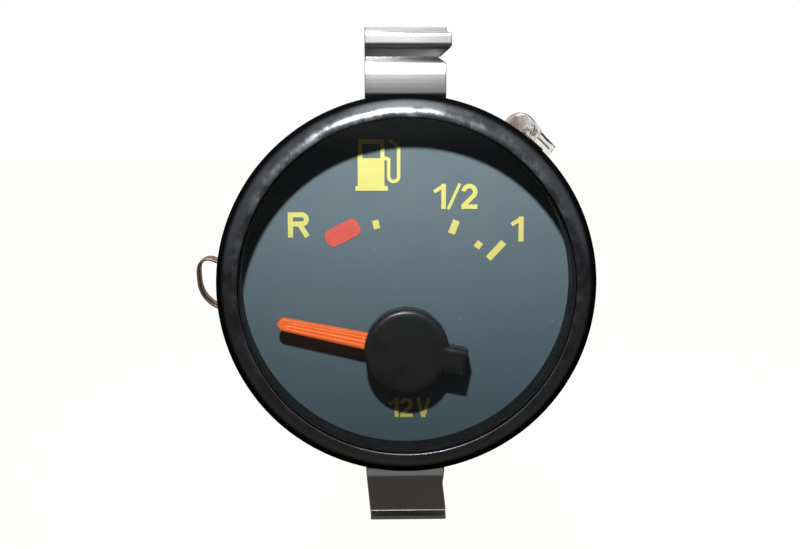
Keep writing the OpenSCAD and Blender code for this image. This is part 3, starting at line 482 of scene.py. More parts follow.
# %% [markdown]
# ## Finishes
# A finish starts from one colour, one roughness and one metal value. The cloud moves the
# tone, scratches and specks change colour and gloss together, and their sum bends the
# light a little through a bump. Numbers that are the same all over a surface are written
# on the shader itself.


# %% Finish maker
FINISHES = {}


def finish(name, tone, other, rough=(0.3, 0.4), metal=0.0, scale=200.0, hair=0.0, hair_tone=None,
           dust=0.0, dust_scale=900.0, dust_tone=(150, 148, 140), brush=None, bump=0.00001,
           bump_scale=3000.0, worn=0.0, worn_tone=None, shade_below=None, rim_shade=None, drawn=None, constants=None):
    """Builds a material. Tone and other are the two ends of the cloudy change, and rough
    the two ends of roughness. Hair, dust and worn say how much of each effect there is,
    and brush gives its stretch three ways, its scale and its depth. Shade below is two
    heights and the tone below them: painted shade that makes a surface darker towards its
    bottom. Drawn is the way the metal was drawn, across which its highlights spread. Rim
    shade is the tone that takes the place of the gloss where the surface is seen edge on:
    a painted dark rim instead of the reflection there. Constants are numbers that are set
    on the shader itself. Tones are given as they look on screen."""
    material, w = blank(name)
    shader = w.add("ShaderNodeBsdfPrincipled", Metallic=metal)
    group = lambda key, **numbers: w.add("ShaderNodeGroup", {"node_tree": EFFECTS[key].tree},
                                         **numbers).outputs[0]
    tone_mask = group("cloud", Scale=scale, Detail=5.0)
    colour = w.mix(tone_mask, paint(*tone), paint(*other))
    # Painted shade: between the two heights the colour turns to the darker tone given below them, so the
    # surface is darker towards its bottom.
    if shade_below:
        colour = w.mix(w.ramp(w.along("Z"), shade_below[0], shade_below[1], 1.0, 0.0), colour, paint(*shade_below[2]))
    roughness = w.ramp(tone_mask, 0.0, 1.0, *rough)
    grain = w.add("ShaderNodeTexNoise", Vector=w.spot(), Scale=bump_scale, Detail=3.0)
    height = w.math("MULTIPLY", grain.outputs[0], bump)
    if brush:
        lines = group("brush", Along_X=brush[0], Along_Y=brush[1], Along_Z=brush[2], Scale=brush[3])
        height = w.math("ADD", height, w.math("MULTIPLY", lines, brush[4]))
        roughness = w.math("ADD", roughness, w.ramp(lines, 0.3, 0.7, -0.05, 0.07))
        colour = w.mix(w.ramp(lines, 0.4, 0.75, 0.0, 0.35), colour, paint(*other))
    if worn:
        colour = w.mix(w.math("MULTIPLY", group("worn"), worn), colour, paint(*worn_tone))
    if hair:
        mask = group("hair", Scale=scale, Amount=hair)
        colour = w.mix(mask, colour, paint(*hair_tone))
        roughness = w.math("ADD", roughness, w.math("MULTIPLY", mask, 0.2))
        height = w.math("SUBTRACT", height, w.math("MULTIPLY", mask, 0.000004))
    if dust:
        mask = group("dust", Scale=dust_scale, Cover=dust)
        colour = w.mix(mask, colour, paint(*dust_tone))
        roughness = w.math("ADD", roughness, w.math("MULTIPLY", mask, 0.35), clamp=True)
    normal = w.add("ShaderNodeBump", Height=height, Strength=1.0, Distance=1.0)
    w.feed(shader, "Base Color", colour)
    w.feed(shader, "Roughness", roughness)
    w.feed(shader, "Normal", normal.outputs[0])
    for key, value in (constants or {}).items():
        shader.inputs[key].default_value = value
    if drawn:
        along = w.add("ShaderNodeCombineXYZ", X=drawn[0], Y=drawn[1], Z=drawn[2])
        w.feed(shader, "Tangent", along.outputs[0])
    surface = shader.outputs[0]
    # Painted dark rim: where the surface turns edge on to the camera, the gloss gives way to a flat dark
    # tone, which hides the reflection there.
    if rim_shade:
        facing = w.add("ShaderNodeLayerWeight", Blend=0.5).outputs["Facing"]
        rim_dark = w.add("ShaderNodeBsdfDiffuse", Color=paint(*rim_shade))
        surface = w.add("ShaderNodeMixShader", n0=w.ramp(facing, 0.16, 0.4), n1=surface,
                        n2=rim_dark.outputs[0]).outputs[0]
    w.show(surface)
    FINISHES[name] = material


# %% Finishes of the front
# The bezel's enamel is painted dark at its rim where it is seen edge on, in place of its reflection.
finish("bezel enamel", (13, 13, 17), (19, 20, 26), rough=(0.2, 0.33), scale=420, hair=0.25,
       hair_tone=(52, 55, 64), dust=0.003, dust_scale=1500, bump=0.00005, bump_scale=420,
       rim_shade=(16, 16, 19), constants={"IOR": 1.8, "Specular IOR Level": 1.0,
                                     "Specular Tint": (0.86, 0.93, 1.0, 1.0)})
finish("visor black", (15, 16, 18), (20, 21, 24), rough=(0.5, 0.6), dust=0.004, dust_scale=1500,
       constants={"Specular IOR Level": 0.25})
finish("rubber", (22, 22, 22), (30, 30, 30), rough=(0.7, 0.85), bump=0.00002)
# The dial's paint is darker towards its bottom: painted shade, as if less light reached the lower dial.
finish("dial paint", (116, 134, 142), (112, 129, 138), rough=(0.5, 0.6), scale=120, dust=0.006,
       dust_scale=1100, dust_tone=(140, 152, 158), bump=0.000004, bump_scale=5000,
       shade_below=(-0.022, 0.019, (99, 124, 136)), constants={"Specular IOR Level": 0.3})
finish("yellow ink", (255, 252, 146), (255, 246, 132), rough=(0.45, 0.55), scale=500, bump=0.000006)
finish("red ink", (250, 106, 92), (242, 98, 86), rough=(0.45, 0.55), scale=500, bump=0.000006)
# The pointer glows with its own orange emission: a painted glow that brightens it, though it is no lamp.
finish("pointer orange", (255, 126, 58), (255, 114, 46), scale=300, dust=0.004, dust_scale=1500,
       bump=0.000003,
       constants={"Emission Color": paint(255, 112, 40), "Emission Strength": 0.34})
finish("cap black", (34, 36, 37), (38, 40, 42), rough=(0.27, 0.33), scale=300, dust=0.006,
       dust_scale=1500, dust_tone=(70, 72, 74), bump=0.000004, bump_scale=4500,
       constants={"Specular IOR Level": 0.45})
print(len(FINISHES), "finishes for the front")

# %% Finishes of metals
finish("strap steel", (192, 191, 190), (180, 180, 180), rough=(0.32, 0.35), metal=1.0, scale=120,
       hair=0.1, hair_tone=(160, 160, 158), bump=0.0000008, dust=0.002, dust_scale=1500,
       dust_tone=(120, 112, 98), drawn=(1, 0, 0), constants={"Anisotropic": 0.8})
finish("zinc", (214, 212, 204), (186, 186, 184), rough=(0.3, 0.42), metal=1.0, scale=400,
       hair=0.2, hair_tone=(150, 150, 150), bump_scale=2200)
finish("steel", (186, 186, 186), (160, 160, 162), rough=(0.28, 0.4), metal=1.0, scale=500,
       hair=0.3, hair_tone=(110, 110, 112), bump=0.000006)
finish("brass", (214, 178, 104), (188, 150, 84), rough=(0.24, 0.38), metal=1.0, scale=260,
       hair=0.3, hair_tone=(140, 108, 62), dust=0.01, dust_tone=(90, 70, 44), bump=0.000005)
finish("tinned brass", (214, 200, 156), (196, 176, 124), rough=(0.26, 0.4), metal=1.0,
       scale=220, hair=0.4, hair_tone=(150, 128, 84), bump=0.000006)
finish("dark bronze", (176, 146, 118), (126, 104, 84), rough=(0.25, 0.42), metal=1.0, scale=260,
       hair=0.3, hair_tone=(40, 30, 24), bump=0.000006)
finish("soft iron", (170, 168, 162), (146, 146, 142), rough=(0.4, 0.55), metal=1.0, scale=300)
finish("copper", (190, 106, 58), (160, 84, 44), rough=(0.2, 0.32), metal=1.0,
       brush=(0.1, 1, 1, 9000, 0.00004))
print(len(FINISHES), "finishes so far")

# %% Finishes of paint, board and mouldings
finish("case paint", (40, 40, 43), (48, 48, 52), rough=(0.34, 0.46), scale=110, hair=0.35,
       hair_tone=(96, 96, 98), dust=0.03, dust_scale=600, worn=0.8, worn_tone=(140, 138, 132),
       bump_scale=1600)
finish("black moulding", (26, 26, 27), (34, 34, 35), rough=(0.4, 0.55), scale=300, hair=0.2,
       hair_tone=(70, 70, 70), dust=0.02, bump_scale=3600)
finish("pale moulding", (222, 217, 202), (210, 204, 186), rough=(0.45, 0.6), scale=260)
finish("laminate", (44, 78, 42), (56, 92, 50), brush=(1.0, 0.2, 1.0, 1500, 0.000006))
finish("ceramic", (200, 184, 146), (190, 172, 132), rough=(0.6, 0.7))
finish("ferrite", (48, 48, 50), (60, 60, 62), rough=(0.6, 0.75), bump=0.00003, bump_scale=5000)
print(len(FINISHES), "finishes in all")

# %% [markdown]
# ## Glass
# Clear glass has almost no colour of its own, and a renderer that lets only straight
# rays light what lies behind it leaves the dial dark. So shadow rays pass through a
# transparent shader, and every other ray meets real glass. The window in the case wall
# is a moulding of the same kind, a little milky.


# %% Glass maker
def glass(name, tint, rough, shadow=0.96, scale=60, marks=0.02, flat=False, wrinkle=0.0, smoke=None):
    """Clear glass whose shadow is a light tint, with faint wipe marks in its gloss. Flat
    glass bends nothing much, so shiny reflections behind it pass straight through too.
    Wrinkle is the height of the waves that blowing leaves. Smoke is two places across and
    the tone of the glass to the left of them."""
    material, w = blank(name)
    shader = w.add("ShaderNodeBsdfPrincipled", Metallic=0.0, IOR=1.5)
    shader.inputs["Transmission Weight"].default_value = 1.0
    tone = w.add("ShaderNodeGroup", {"node_tree": cloud.tree}, Scale=scale, Detail=5.0).outputs[0]
    pale = tuple(c * 0.96 for c in tint[:3]) + (1.0,)
    colour = w.mix(tone, tint, pale)
    if smoke:
        colour = w.mix(w.ramp(w.along("X"), smoke[0], smoke[1]), smoke[2], colour)
    w.feed(shader, "Base Color", colour)
    if wrinkle:
        waves = w.add("ShaderNodeTexNoise", Vector=w.spot(),
                      Scale=330.0, Detail=1.0, Distortion=1.2)
        bent = w.add("ShaderNodeBump", Height=w.math("MULTIPLY", waves.outputs[0], wrinkle), Strength=1.0,
                     Distance=1.0)
        w.feed(shader, "Normal", bent.outputs[0])
    w.feed(shader, "Roughness", w.ramp(tone, 0.4, 1.0, rough, rough + marks))
    through = w.add("ShaderNodeBsdfTransparent", Color=(shadow, shadow, shadow, 1.0))
    ray = w.add("ShaderNodeLightPath")
    light = w.math("MAXIMUM", ray.outputs["Is Shadow Ray"], ray.outputs["Is Diffuse Ray"])
    if flat:
        light = w.math("MAXIMUM", light, ray.outputs["Is Glossy Ray"])
    w.show(w.add("ShaderNodeMixShader", n0=light, n1=shader.outputs[0], n2=through.outputs[0]).outputs[0])
    FINISHES[name] = material


glass("lens glass", (0.97, 0.985, 0.99, 1.0), 0.0, marks=0.012, flat=True)
glass("lamp glass", (0.84, 0.83, 0.81, 1.0), 0.0, scale=400, marks=0.03, wrinkle=0.00028,
      smoke=(0.0172, 0.0192, (0.50, 0.44, 0.40, 1.0)))
glass("window moulding", (0.86, 0.88, 0.84, 1.0), 0.25, shadow=0.8, marks=0.1)
print("glass finishes ready")

# %% [markdown]
# ## Bezel
# The bezel is a ring of sheet rolled over a former, then enamelled. Its front is a
# half-round roll that ends in a short nose on the glass, and its rear edge is turned in
# behind the case's flange. Rolling never leaves a perfect circle, so the radius wanders
# inward by a few hundredths of a millimetre, which is what makes its highlights waver.


# %% Bezel ring
def bezel_profile():
    """Radius and depth along the sheet's outside and back along its inside, closed."""
    arc = np.radians(np.linspace(0, -90, 25))
    outer = np.stack([ROLL_R + ROLL * np.cos(arc), ROLL_Y + ROLL * np.sin(arc)], axis=1)
    inner = np.stack([ROLL_R + (ROLL - SHEET) * np.cos(arc), ROLL_Y + (ROLL - SHEET) * np.sin(arc)],
                     axis=1)[::-1]
    nose = eased([outer[-1], (LIP_R, CROWN_Y), (LIP_R, LENS_Y), inner[0]], [0, 0.3, 0.05, 0])[1:-1]
    rear = eased([inner[-1], (BEZEL_R - SHEET, -SHEET), (CASE_R + 0.05, -SHEET), (CASE_R + 0.05, 0),
                  (BEZEL_R, 0), outer[0]], [0, 0.1, 0.2, 0.2, 0.8, 0])[1:-1]
    return evenly(np.concatenate([outer, nose, inner, rear]), 0.6, closed=True)


def rolling(radius, depth, angle):
    """Small inward wander of the roll: three slow waves, weaker toward its rear edge."""
    front = np.clip((-depth - 0.5) / 3, 0, 1)
    waves = (np.sin(3 * angle + 0.6) + 0.7 * np.sin(7 * angle + 2.1) + 0.5 * np.sin(13 * angle + 4.0))
    return -0.012 * front * (2.2 + waves)


piece("bezel_ring_rolled", turned(bezel_profile(), 384, ring=True, swell=rolling),
      "bezel enamel", "case", ["bezel_ring"])

# %% [markdown]
# ## Lens, gasket and visor
# The lens is a flat disc of glass with a ground edge, and its bevel sits in the roll of
# the bezel. Behind it come a rubber gasket and the visor, a tube that shades the dial and
# hides the case wall. All three are turned, with the small radii of moulded edges.

# %% Lens and visor
LENS_BEVEL = 0.6
LENS_BACK = -4.2
GASKET_BACK = -3.4
SEAT_R = 27.0
TUBE_R = 24.4
TUBE_OUT = 24.95
FLANGE_BACK = -1.6
in_roll = ROLL - SHEET
lens_edge = ROLL_R + math.sqrt(in_roll ** 2 - (in_roll - LENS_BEVEL) ** 2) - 0.05
lens_line = eased([(0.5, LENS_Y), (ROLL_R, LENS_Y), (lens_edge, LENS_Y + LENS_BEVEL),
                   (lens_edge, LENS_BACK), (0.5, LENS_BACK)], [0, 0.1, 0.1, 0.12, 0])
piece("lens_disc", turned(lens_line, 192), "lens glass", "case", ["glass_lens"])
gasket_line = eased([(LIP_R, LENS_BACK), (SEAT_R, LENS_BACK), (SEAT_R, GASKET_BACK),
                     (LIP_R, GASKET_BACK)], 0.12, closed=True)
piece("gasket_ring", turned(gasket_line, 192, ring=True), "rubber", "case", ["lens_gasket"])
visor_line = eased([(TUBE_R, GASKET_BACK), (SEAT_R, GASKET_BACK), (SEAT_R, FLANGE_BACK),
                    (TUBE_OUT, FLANGE_BACK), (TUBE_OUT, DIAL_Y), (TUBE_R, DIAL_Y)], 0.1, closed=True)
piece("visor_tube", turned(evenly(visor_line, 1.0, closed=True), 288, ring=True), "visor black", "case",
      ["visor_ring"])


# %% [markdown]
# ## Pointer
# The pointer is a thin orange moulding. Its front has broken edges and shallow grooves
# along it, which show as darker lines, and its tip is round. Under the cap it is a plain
# tongue. It is drawn pointing straight up and then turned to its rest, just above the
# left horizontal.


# %% Turning to rest
def at_rest(across, depth, along):
    """A point given across, deep and along the pointer, turned about the pivot to rest."""
    return np.stack([across * math.cos(REST) + along * math.sin(REST), depth,
                     PIVOT_Z - across * math.sin(REST) + along * math.cos(REST)], axis=-1)


# %% Pointer blade
def blade():
    """Half width goes evenly from root to tip, and is a circle's chord over the round
    tip. Across it, the front falls away at the edges and dips along three grooves. A
    dent near the tip ends them."""
    length, root, tip = 19.5, 1.4, 1.0
    along = np.concatenate([np.linspace(1.9, length - tip, 70),
                            length - tip + tip * np.sin(np.radians(np.linspace(6, 86, 14)))])
    half = np.interp(along, [0, length - tip], [root, tip])
    past = np.clip(along - (length - tip), 0, tip)
    half = half * np.sqrt(1 - (past / tip) ** 2)
    side = np.concatenate([np.linspace(-1, 1, 61), [1, 0.5, 0, -0.5, -1]])
    front = np.concatenate([np.ones(61), np.zeros(5)])
    edge = np.clip((np.abs(side) - 0.74) / 0.26, 0, 1)
    grooves = np.exp(-((side - 0.1) / 0.1) ** 2) + 0.7 * np.exp(-((side + 0.42) / 0.07) ** 2)
    grooves = grooves + 0.5 * np.exp(-((side - 0.5) / 0.06) ** 2)
    reach = np.clip((length - 1.5 - along) / 0.6, 0, 1)[:, None]
    deep = BLADE_Y + (0.35 * edge ** 1.5)[None] + 0.16 * grooves[None] * reach
    lengthwise = ((along[:, None] - (length - 1.35)) / 0.16) ** 2
    dent = 0.22 * np.exp(-lengthwise - ((side[None] - 0.1) / 0.4) ** 2)
    depth = np.where(front[None] > 0, deep + dent, BLADE_Y + 1.0)
    across = half[:, None] * side[None]
    return wrapped(at_rest(across, depth, np.repeat(along[:, None], len(side), axis=1)))


piece("pointer_blade_moulded", blade(), "pointer orange", "pointer", ["pointer_blade"],
      crease=50)


# %% [markdown]
# ## Hub cap
# The cap is a black moulding: a disc with a short square tail that balances the pointer.
# Both have one chamfer round the front. Seen from the pivot, every direction meets the
# outline once, so the outline is a radius for each angle: the larger of the disc and the
# tail. A high power mean of the two rounds the corner where they meet.


# %% Hub cap
def cap_outline(angle, inset):
    """Radius of disc and tail together, moved in by the inset. The tail lies opposite the
    pointer, so its direction has a negative cosine."""
    disc = HUB_R - inset
    half, reach = 2.0 - inset, 9.0 - inset
    cos, sin = np.cos(angle), np.abs(np.sin(angle))
    side = half / np.maximum(sin, 1e-3)
    end = np.where(cos < 0, reach / np.maximum(-cos, 1e-3), 1.0)
    tail = (side ** -28.0 + end ** -28.0) ** (-1 / 28)
    return (disc ** 40.0 + tail ** 40.0) ** (1 / 40)


def cap():
    """Rows of the cap: in over the face, down the chamfer and the side, and back up the
    inside of the skirt. Each row is the outline at one inset and one depth."""
    angle = np.arange(720) * 2 * math.pi / 720
    rows = [(1.8, 0.0), (1.2, 0.0), (0.62, 0.0), (0.26, 0.13), (0.07, 0.3), (0.0, 0.46)]
    rows += [(0.0, d) for d in np.linspace(0.6, 4.4, 8)] + [(0.02, 4.55), (0.1, 4.6), (0.8, 4.6)]
    rows += [(0.9, 4.5), (0.9, 2.5), (0.9, 0.9), (1.8, 0.9)]
    inset, drop = np.array(rows).T
    radius = np.stack([cap_outline(angle, i) for i in inset])
    depth = np.repeat((HUB_Y + drop)[:, None], len(angle), axis=1)
    return wrapped(at_rest(radius * np.sin(angle), depth, radius * np.cos(angle)))


piece("hub_cap_moulded", cap(), "cap black", "pointer", ["pointer_hub_cap"], crease=25)

# %% [markdown]
# ## Clamp strap
# The strap is one piece of spring steel strip. It runs from a stepped foot under the case,
# back along its side, across behind it, and forward again over the top to a second foot.
# The feet press on the back of the panel. A strip is its centreline with a rounded
# rectangle carried along it, and the strip's edges follow the nicks cut in it.


# %% Strap
LEG_GAP = 1.3
STRAP_BACK = 39
LEG_R = CASE_R + LEG_GAP + STRAP_T / 2
FOOT_Y = 1 + STRAP_T / 2 + 1.7
STRAP_Y = STRAP_BACK + STRAP_T / 2
TOP_STEPS = [(0, 0), (1.4, 0.02), (2.7, 0.08), (3.9, 0.17), (5.1, 0.43), (6.2, 0.82), (7.6, -1.7),
             (9.3, -1.6), (10.1, -1.35)]
TOP_BENDS = [1, 0.6, 0.6, 0.5, 0.3, 0.3, 0.35, 0.3, 0]
LOW_STEPS = [(0, 0), (2.15, 0), (3.3, -0.32), (8.9, -0.55), (9.6, -1.7)]
LOW_BENDS = [1, 0.25, 0.25, 0.4, 0]


def strap_path():
    """The strap's centreline as depth and height, from the lower foot to the upper."""
    upper = [(STRAP_Y, LEG_R)] + [(FOOT_Y + y, LEG_R + out) for out, y in TOP_STEPS]
    lower = [(STRAP_Y, -LEG_R)] + [(FOOT_Y + y, -LEG_R - out) for out, y in LOW_STEPS]
    bends = LOW_BENDS[::-1] + [2, 2] + TOP_BENDS
    return evenly(eased(lower[::-1] + upper, bends, turn_step=6), 0.16)


# The right edge is nicked at the feet: for each height, how far out it reaches.
path = strap_path()
right_z = [-LEG_R - 9.4, -LEG_R - 8.25, -LEG_R - 4.45, -LEG_R - 2.4, LEG_R + 4.6, LEG_R + 5.05,
           LEG_R + 5.9, LEG_R + 7.7, LEG_R + 9.3, LEG_R + 9.6]
right_x = [6.25, 6.25, 5.8, 6.1, 6.1, 6.1, 4.85, 6.8, 6.8, 6.0]
left_x = np.interp(path[:, 1], [-LEG_R - 9.4, -LEG_R - 2.4], [-5.4, -6.1])
strap = piece("strap_bent", sheet_strip(path, left_x, np.interp(path[:, 1], right_z, right_x), STRAP_T,
              lambda x, y, z: np.stack([x, y, z], axis=-1), corner=0.2),
              "strap steel", "strap", ["clamp_strap"], crease=50)


# %% [markdown]
# The stud passes through a hole in the strap. A hole is easiest to cut from the finished
# strip: a round bar takes the metal away, and the result is kept as plain mesh.


# %% Stud hole
def drilled(thing, radius, near, far):
    """Cuts a round hole about the gauge's axis between two depths and keeps the result."""
    line = np.array([(radius, near), (radius, far)])
    drill = placed("drill", mesh_of("drill", turned(line, 64)))
    cut = thing.modifiers.new("hole", "BOOLEAN")
    cut.operation = "DIFFERENCE"
    cut.solver = "EXACT"
    cut.object = drill
    result = baked(thing)
    thing.modifiers.clear()
    thing.data = result
    result.set_sharp_from_angle(angle=math.radians(45))
    bpy.data.objects.remove(drill)
    print(f"{thing.name}: hole of {2 * radius} mm, {len(result.vertices)} points")


drilled(strap, 2.2, STRAP_Y - 2, STRAP_Y + 2)


# %% [markdown]
# ## Nut, stud and washer
# A knurled thumb nut runs on the threaded stud and pushes the strap forward, with a split
# washer between them. The knurl is a wave in the radius round the nut. The thread is a
# triangular wave that climbs one pitch for each turn.


# %% Thumb nut
def knurl(radius, depth, angle):
    """Ribs round the nut's head, fading out toward both of its chamfers."""
    head = np.clip((depth - NUT_Y - 1.7) / 0.25, 0, 1) * np.clip((NUT_Y + 5.75 - depth) / 0.3, 0, 1)
    outside = radius > 4
    return outside * head * (0.28 * (np.abs(np.cos(12 * angle)) ** 0.8))


nut_line = eased([(2.05, NUT_Y), (3.4, NUT_Y), (3.4, NUT_Y + 1.4), (4.72, NUT_Y + 1.4), (4.72, NUT_Y + 6),
                  (2.05, NUT_Y + 6)], [0.15, 0.25, 0.15, 0.35, 0.45, 0.3], closed=True)
piece("nut_knurled", turned(evenly(nut_line, 0.25, closed=True), 480, ring=True, swell=knurl),
      "brass", "nut", ["thumb_nut"], crease=60)


# %% Stud
PITCH = 0.7
STUD_R = 2.0
STUD_END = 54.3


def thread(radius, depth, angle):
    """A groove 0.38 deep that climbs one pitch a turn, only where the stud is bare."""
    turns = (depth / PITCH + angle / (2 * math.pi)) % 1.0
    wave = np.abs(turns - 0.5) * 2
    bare = np.clip((depth - 37.0) / 0.7, 0, 1) * np.clip((54.2 - depth) / 0.5, 0, 1)
    return -0.38 * bare * wave * (radius > 1.2)


head = eased([(0.4, 33.0), (3.4, 33.0), (3.4, 34.8), (STUD_R, 34.8), (STUD_R, 36.5)], [0, 0.3, 0.3, 0.05, 0])
shank = np.stack([np.full(250, STUD_R), np.linspace(36.6, 53.75, 250)], axis=1)
stud_line = np.concatenate([head, shank, [(1.95, 53.85), (1.5, STUD_END), (0.6, STUD_END)]])
piece("stud_threaded", turned(stud_line, 72, swell=thread), "zinc", "case", ["clamp_stud"],
      crease=70)


# %% Split washer
def washer():
    """A rounded square section carried round from one side of the slit to the other,
    at one depth all round, as spring washers stay even when flattened."""
    gap = math.asin(0.4 / 3.0)
    angle = math.pi / 2 + np.linspace(gap, 2 * math.pi - gap, 120)[:, None]
    section = eased([(2.2, 39.82), (4.0, 39.82), (4.0, 40.78), (2.2, 40.78)], 0.15, closed=True)
    radius, depth = section[None, :, 0], np.repeat(section[None, :, 1], 120, axis=0)
    return wrapped(np.stack([radius * np.sin(angle), depth, radius * np.cos(angle)], axis=2))


piece("washer_split", washer(), "steel", "strap", ["lock_washer"])

# %% [markdown]
# ## Earthing strip
# A thin strip of dark spring bronze is riveted to the case wall and stands off it in a
# loop, so that its springy bow touches earthed metal beside the gauge.


# %% Earthing strip
def strip_path():
    """Along the case under its rivet, then out into the loop and back to the wall."""
    seat, out = CASE_R + 0.25, 6.35
    angle = np.radians(np.arange(-20, -12.9, 1.0))
    along = [(-seat * math.cos(a), seat * math.sin(a)) for a in angle]
    loop = [(-(CASE_R + out * k), z) for k, z in ((0.6, -4.85), (0.86, -3.3), (0.97, -1.7), (1.0, 1.0),
                                                  (0.93, 2.3), (0.72, 2.75), (0.5, 2.1))]
    points = along + loop + [(-(CASE_R + 0.7), 0.9)]
    return evenly(eased(points, 1.4, turn_step=5), 0.2)


piece("earth_strip_bent", sheet_strip(strip_path(), 7.5, 11.0, 0.4,
      lambda y, x, z: np.stack([x, y, z], axis=-1), corner=0.12),
      "dark bronze", "case", ["earth_strip"], crease=50)


# %% [markdown]
# ## Lamp
# The lamp is blown from a glass tube: one end is a dome, the other is pinched flat while
# hot round the two wires. Its section is a superellipse, whose power and half widths go
# from a circle's to a flat wedge's along its length. It is hollow down to the pinch.


# %% Placing the lamp
def at_bulb(along, across, out):
    """From the lamp's own directions to the gauge's: turned away from the panel plane,
    moved out from the axis, and turned round the case to the lamp's angle."""
    x = along * math.cos(LAMP_TURN) - across * math.sin(LAMP_TURN)
    y = along * math.sin(LAMP_TURN) + across * math.cos(LAMP_TURN) + LAMP_Y
    z = out + LAMP_AT
    return np.stack([x * math.cos(LAMP_ANGLE) + z * math.sin(LAMP_ANGLE), y,
                     -x * math.sin(LAMP_ANGLE) + z * math.cos(LAMP_ANGLE)], axis=-1)


# %% Lamp glass
def blown(inset, end):
    """Half widths: a dome over the first 2.5 mm, a tube, and a smooth pinch between -1.7
    and 1.2 down to 1.0 by 2.1. The inset moves the whole wall inward."""
    dome = -2.75 - 2.5 * np.cos(np.radians(np.linspace(4, 90, 22)))
    along = np.concatenate([dome, np.linspace(-2.6, end, 48)])
    radius = np.where(along < -2.75, np.sqrt(np.maximum(0, 2.5 ** 2 - (along + 2.75) ** 2)), 2.5)
    pinch = np.clip((along + 1.7) / 2.9, 0, 1)
    pinch = pinch * pinch * (3 - 2 * pinch)
    narrow = np.maximum(radius + (0.98 - radius) * pinch - inset, 0.03)
    wide = np.maximum(radius + (2.08 - radius) * pinch - inset, 0.03)
    power = 2 + 3.0 * pinch
    along = np.where(along < -2.75, along + inset * np.clip((-2.75 - along) / 2.5, 0, 1), along)
    angle = np.arange(72) * 2 * math.pi / 72
    cos, sin = np.cos(angle)[None], np.sin(angle)[None]
    shape = lambda value, half: half[:, None] * np.sign(value) * np.abs(value) ** (2 / power[:, None])
    return np.repeat(along[:, None], 72, axis=1), shape(cos, narrow), shape(sin, wide)


outside = wrapped(at_bulb(*blown(0.0, 5.22)))
inside = wrapped(at_bulb(*blown(0.38, 0.25)), hollow=True)
piece("lamp_glass_blown", joined(outside, inside), "lamp glass", "lamp", ["lamp_glass"],
      crease=60)


# %% Filament
def filament():
    """Two legs stand in the pinch and lean out a little, and a fine coil hangs between
    their ends: a helix whose axis runs across the lamp."""
    legs = [bar([(-1.4, 0, s * 1.0), (0.1, 0, s * 1.1), (4.8, 0, s * 1.1)], 0.16, aside=(0, 1, 0))
            for s in (-1, 1)]
    turns = np.linspace(0, 2 * math.pi * 11, 11 * 14)
    across = np.linspace(-1.0, 1.0, len(turns))
    coil = np.stack([-1.45 + 0.24 * np.cos(turns), 0.24 * np.sin(turns), across], axis=1)
    return joined(*[(at_bulb(*points.T), faces) for points, faces in
                    legs + [wire(coil, 0.05, columns=8, aside=(0, 0, 1))]])


piece("lamp_wires", filament(), "steel", "lamp", ["lamp_filament"], crease=60)

# %% [markdown]
# ## Pieces that keep their solid's shape
# These have flat faces and plain holes, so a softened copy is enough. The edge width is
# chosen for each: wider on mouldings and rivet heads, narrow on punched sheet.

# %% Softened pieces
SOFT = [("terminal_board", "black moulding", "case", "black_plastic", 0.2, 2),
        ("terminal_blades", "tinned brass", "case", "tin", 0.1, 2),
        ("terminal_rivets", "brass", "case", "brass", 0.25, 3),
        ("earth_terminal", "zinc", "case", "zinc", 0.1, 2),
        ("case_screws", "zinc", "case", "zinc", 0.2, 3),
        ("lamp_rail", "case paint", "case", "case_paint", 0.1, 2),
        ("lamp_holder", "black moulding", "lamp_carrier", "black_plastic", 0.12, 2),
        ("lamp_contacts", "brass", "lamp_carrier", "brass", 0.05, 2),
        ("earth_rivet", "zinc", "case", "zinc", 0.2, 3),
        ("case_shell", "case paint", "case", "case_paint", 0.0, 2)]
for node, look, body, slot, width, segments in SOFT:
    softened(node, look, body, width, segments)

# %% Solids that only need a finish
PLAIN = {"dial_plate": "dial paint", "dial_print_yellow": "yellow ink", "dial_print_red": "red ink",
         "lamp_window": "window moulding", "pointer_bush": "brass", "pointer_shaft": "steel",
         "stop_arm": "steel", "rotor_magnet": "ferrite", "movement_frame": "pale moulding",
         "front_bearing": "brass", "rear_bearing": "brass", "bobbin_front": "pale moulding",
         "bobbin_rear": "pale moulding", "coil_upright": "copper", "coil_level": "copper",
         "return_magnet": "ferrite", "shield_can": "soft iron", "shield_screws": "zinc",
         "circuit_board": "laminate", "ballast_resistor": "ceramic", "board_spacers": "zinc"}
for node, look in PLAIN.items():
    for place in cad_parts[node].material_slots:
        place.link = "OBJECT"
        place.material = FINISHES[look]
print(len(PLAIN), "solids dressed where they stand")

# %% [markdown]
# ## Floor, surround and light
# The photograph is cut out on white, yet its shiny parts show a room that isn't seen: a
# warm, dark bench below and in front, a pale wall from eye height up, and a bright strip
# overhead that runs as a streak round the top of the bezel. So the camera sees a white
# floor and a white surround, while reflections meet that room. Lamps could draw it too,
# but they would also light the dial. Its light comes from one small lamp above the camera,
# which draws the crisp shadows, and a faint fill from behind.

# %% Floor
FLOOR_Z = -0.15
floor_mesh = bpy.data.meshes.new("floor")
floor_mesh.from_pydata([(-4, -4, FLOOR_Z), (4, -4, FLOOR_Z), (4, 4, FLOOR_Z), (-4, 4, FLOOR_Z)], [],
                       [(0, 1, 2, 3)])
floor = placed("floor", floor_mesh)
floor_paint, w = blank("floor white")
ray = w.add("ShaderNodeLightPath")
seen = w.math("MAXIMUM", ray.outputs["Is Camera Ray"], ray.outputs["Is Transmission Ray"])
depth = w.along("Y")
bench = w.math("MAXIMUM", w.ramp(depth, -0.65, -0.3, 0.02, 0.06), w.ramp(depth, -0.25, -0.12, 0.0, 0.11))
near = w.math("MULTIPLY", bench, w.ramp(depth, 0.05, 0.1, 1.0, 0.0))
shine = w.math("MULTIPLY", ray.outputs["Is Glossy Ray"],
               w.math("MAXIMUM", near, w.ramp(depth, 0.05, 0.5, 0.0, 0.3)))
share = w.math("MAXIMUM", seen, shine)
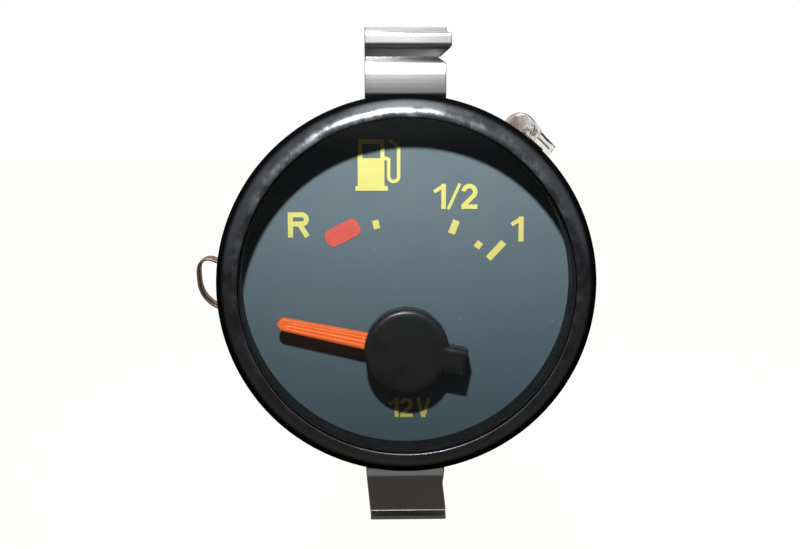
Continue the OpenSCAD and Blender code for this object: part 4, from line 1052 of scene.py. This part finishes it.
brown = w.math("MULTIPLY", ray.outputs["Is Glossy Ray"], w.ramp(depth, 0.0, 0.1, 1.0, 0.0))
soft_white = w.add("ShaderNodeBsdfDiffuse", Color=(0.3, 0.3, 0.3, 1.0))
glow = w.add("ShaderNodeEmission", Color=w.mix(brown, (1.0, 0.98, 0.94, 1.0), (1.0, 0.78, 0.55, 1.0)),
             Strength=share)
sum_up = w.add("ShaderNodeAddShader", n0=soft_white.outputs[0], n1=glow.outputs[0])
w.show(sum_up.outputs[0])
floor_mesh.materials.append(floor_paint)
print("floor", -1000 * FLOOR_Z, "mm below the gauge's axis")

# %% Surround
world = bpy.data.worlds.new("surround")
bpy.context.scene.world = world
world.use_nodes = True
world.node_tree.nodes.clear()
w = Wiring(world.node_tree)
ray = w.add("ShaderNodeLightPath")
way = w.add("ShaderNodeSeparateXYZ", Vector=w.add("ShaderNodeTexCoord").outputs["Generated"])
up = way.outputs["Z"]
back_fill = w.ramp(way.outputs["Y"], 0.0, 0.7, 0.0, 0.4)
bench = w.ramp(up, -0.16, -0.4, 0.02, 0.08)
wall = w.ramp(up, 0.0, 0.06, 0.0, 0.3)
aside = w.math("ABSOLUTE", way.outputs["X"])
overhead = w.math("MULTIPLY", w.ramp(up, 0.55, 0.8, 0.0, 2.2), w.ramp(aside, 0.15, 0.35, 1.0, 0.12))
ahead = w.math("MAXIMUM", w.math("MAXIMUM", bench, wall), overhead)
shine = w.math("MULTIPLY", ray.outputs["Is Glossy Ray"], ahead)
seen = w.math("MAXIMUM", ray.outputs["Is Camera Ray"], ray.outputs["Is Transmission Ray"])
room = w.math("ADD", w.math("MAXIMUM", back_fill, shine), 0.02)
strength = w.math("MAXIMUM", room, seen)
low = w.math("MULTIPLY", ray.outputs["Is Glossy Ray"], w.ramp(way.outputs["Z"], 0.0, -0.1))
sky = w.add("ShaderNodeBackground", Color=w.mix(low, (1.0, 1.0, 1.0, 1.0), (1.0, 0.8, 0.58, 1.0)),
            Strength=strength)
w.tree.links.new(sky.outputs[0], w.add("ShaderNodeOutputWorld").inputs["Surface"])

# %% Key lamp
KEY_DISTANCE = 0.3
KEY_AIM = Vector((0, 0, 0.109))
key_place = Vector((-0.09, -1.0, 0.56)).normalized() * KEY_DISTANCE
key_data = bpy.data.lights.new("key", "SPOT")
key_data.energy = 6.2
key_data.shadow_soft_size = 0.0075
key_data.spot_size = math.radians(60)
key_data.spot_blend = 1.0
key = placed("key", key_data)
key.location = key_place
key.rotation_euler = (KEY_AIM - key_place).to_track_quat("-Z", "Y").to_euler()
print("light: a small key lamp above the camera and a faint fill from behind")

# %% Pieces made
print("pieces made:", len(PIECES))
